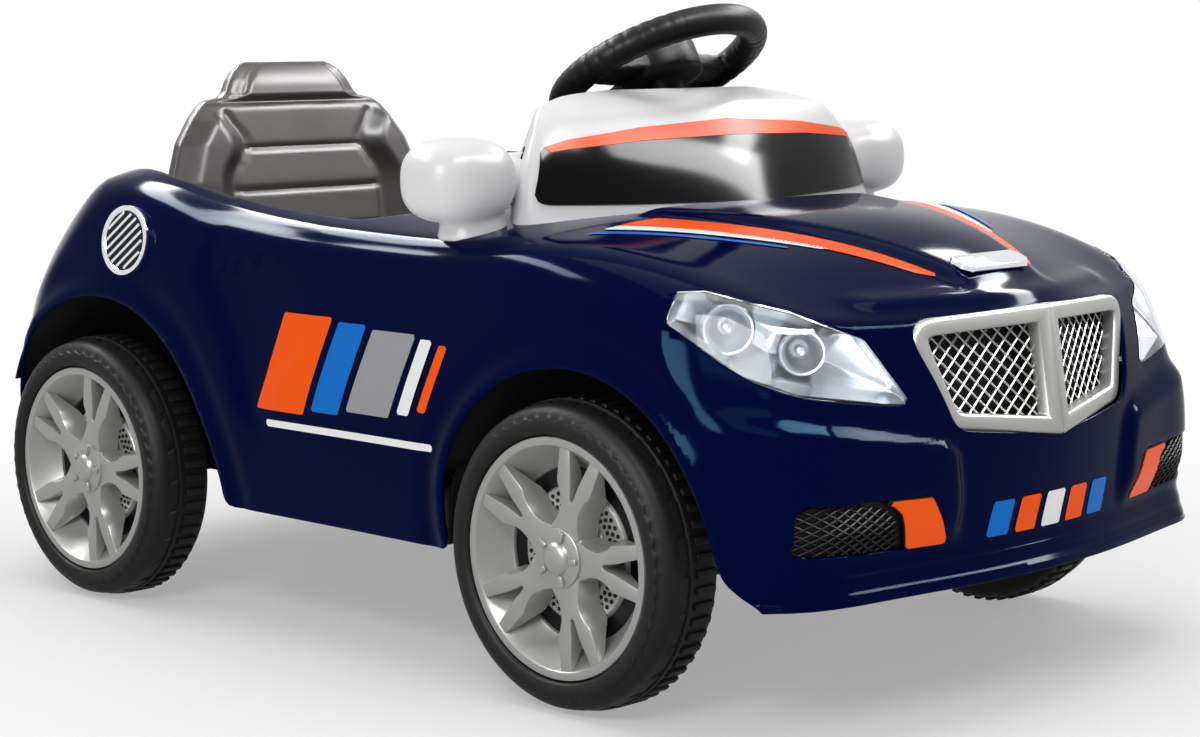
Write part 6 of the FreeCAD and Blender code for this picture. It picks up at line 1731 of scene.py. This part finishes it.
class RIDE_OT_stage(RideOnOperator, bpy.types.Operator):
    """Set the camera, the floor, the lamps and the pale surround"""

    bl_idname = "ride.stage"
    bl_label = "Stage"

    def execute(self, context):
        scene = context.scene
        scene.view_settings.view_transform = "Standard"
        self.camera(scene)
        self.floor()
        self.world(scene)
        for lamp in SOFT_BOXES:
            self.lamp(scene, *lamp)
        for lamp in STREAKS:
            self.lamp(scene, *lamp).visible_diffuse = False
        return {"FINISHED"}

    def lamp(self, scene, name, place, aim, size, power, roll=0):
        """A soft box that faces its aim, turned by roll."""
        made = bpy.data.lights.new(name, "AREA")
        made.shape = "RECTANGLE"
        made.size, made.size_y = size
        made.energy = power
        shown = bpy.data.objects.new(name, made)
        shown.location = place
        facing = (Vector(aim) - Vector(place)).to_track_quat("-Z", "Y").to_matrix()
        shown.rotation_euler = (facing @ Matrix.Rotation(math.radians(roll), 3, "Z")).to_euler()
        scene.collection.objects.link(shown)
        return shown

    def camera(self, scene):
        """The photo's view."""
        made = bpy.data.cameras.new("camera")
        made.sensor_width = CAMERA_SENSOR
        made.lens = CAMERA_LENS
        shown = bpy.data.objects.new("camera", made)
        level = Matrix.Rotation(CAMERA_AZIMUTH, 4, "Z") @ Matrix.Rotation(math.pi / 2 - CAMERA_RISE, 4, "X")
        shown.matrix_world = Matrix.Translation(CAMERA_PLACE) @ level @ Matrix.Rotation(CAMERA_ROLL, 4, "Z")
        scene.collection.objects.link(shown)
        scene.camera = shown

    def floor(self):
        """Pale floor with a faint speckle, that fades into the white surround."""
        bpy.ops.mesh.primitive_plane_add(size=40)
        floor = grab("floor")
        made = bpy.data.materials.new("pale_floor")
        made.use_nodes = True
        tree = made.node_tree
        link = tree.links.new
        surface = tree.nodes["Principled BSDF"]
        surface.inputs["Roughness"].default_value = 0.8
        surface.inputs["Specular IOR Level"].default_value = 0.1
        where = add_node(tree, "ShaderNodeTexCoord")
        speckle = shaded(tree, noise(tree, where, 4), linear("F0F0F0"), linear("F5F5F5"))
        link(speckle, surface.inputs["Base Color"])
        away = add_node(tree, "ShaderNodeVectorMath", operation="LENGTH")
        link(where.outputs["Object"], away.inputs[0])
        fade = ranged(tree, away.outputs["Value"], 0.35, 1, From__Min=0.4, From__Max=1.3,
                      interpolation_type="SMOOTHSTEP")
        glow = add_node(tree, "ShaderNodeEmission", Strength=1.0)
        blend = add_node(tree, "ShaderNodeMixShader")
        for socket, given in zip(blend.inputs, (fade, surface.outputs[0], glow.outputs[0])):
            link(given, socket)
        link(blend.outputs[0], tree.nodes["Material Output"].inputs["Surface"])
        floor.data.materials.append(made)

    def world(self, scene):
        """White to the eye and in gloss, dimmer as a light."""
        world = bpy.data.worlds.new("surround")
        scene.world = world
        world.use_nodes = True
        tree = world.node_tree
        link = tree.links.new
        tree.nodes.clear()
        path = add_node(tree, "ShaderNodeLightPath").outputs
        seen = reckon(tree, "MAXIMUM", path["Is Camera Ray"], path["Is Transmission Ray"])
        seen = reckon(tree, "MAXIMUM", seen, path["Is Glossy Ray"])
        light, pale = (add_node(tree, "ShaderNodeBackground", Color=(1, 1, 1, 1), Strength=power)
                       for power in (0.4, 1.0))
        blend = add_node(tree, "ShaderNodeMixShader")
        for socket, given in zip(blend.inputs, (seen, light.outputs[0], pale.outputs[0])):
            link(given, socket)
        link(blend.outputs[0], add_node(tree, "ShaderNodeOutputWorld").inputs["Surface"])


OPERATORS = (
    RIDE_OT_stage, RIDE_OT_body, RIDE_OT_stripes, RIDE_OT_cowl, RIDE_OT_mirrors, RIDE_OT_seat,
    RIDE_OT_steering, RIDE_OT_tyres, RIDE_OT_trims, RIDE_OT_hub_caps, RIDE_OT_headlamps, RIDE_OT_grille,
    RIDE_OT_fog_lamps, RIDE_OT_badges, RIDE_OT_wells, RIDE_OT_works,
)


class RIDE_PT_panel(bpy.types.Panel):
    """Buttons for the pieces of the ride-on car"""

    bl_idname = "RIDE_PT_panel"
    bl_label = "Ride-on car"
    bl_space_type = "VIEW_3D"
    bl_region_type = "UI"
    bl_category = "Ride-on"

    def draw(self, context):
        for operator in OPERATORS:
            self.layout.operator(operator.bl_idname)
        for group in (context.scene.ride_on_sizes, context.scene.ride_on_colours):
            for key in group.__annotations__:
                self.layout.prop(group, key)


CLASSES = (RideOnColours, RideOnSizes, *OPERATORS, RIDE_PT_panel)


def register():
    for kind in CLASSES:
        bpy.utils.register_class(kind)
    bpy.types.Scene.ride_on_colours = bpy.props.PointerProperty(type=RideOnColours)
    bpy.types.Scene.ride_on_sizes = bpy.props.PointerProperty(type=RideOnSizes)


def unregister():
    del bpy.types.Scene.ride_on_sizes
    del bpy.types.Scene.ride_on_colours
    for kind in reversed(CLASSES):
        bpy.utils.unregister_class(kind)


def main():
    register()
    for operator in OPERATORS:
        group, name = operator.bl_idname.split(".")
        if getattr(getattr(bpy.ops, group), name)() != {"FINISHED"}:
            raise RuntimeError(operator.bl_idname + " did not finish")


if __name__ == "__main__":
    main()
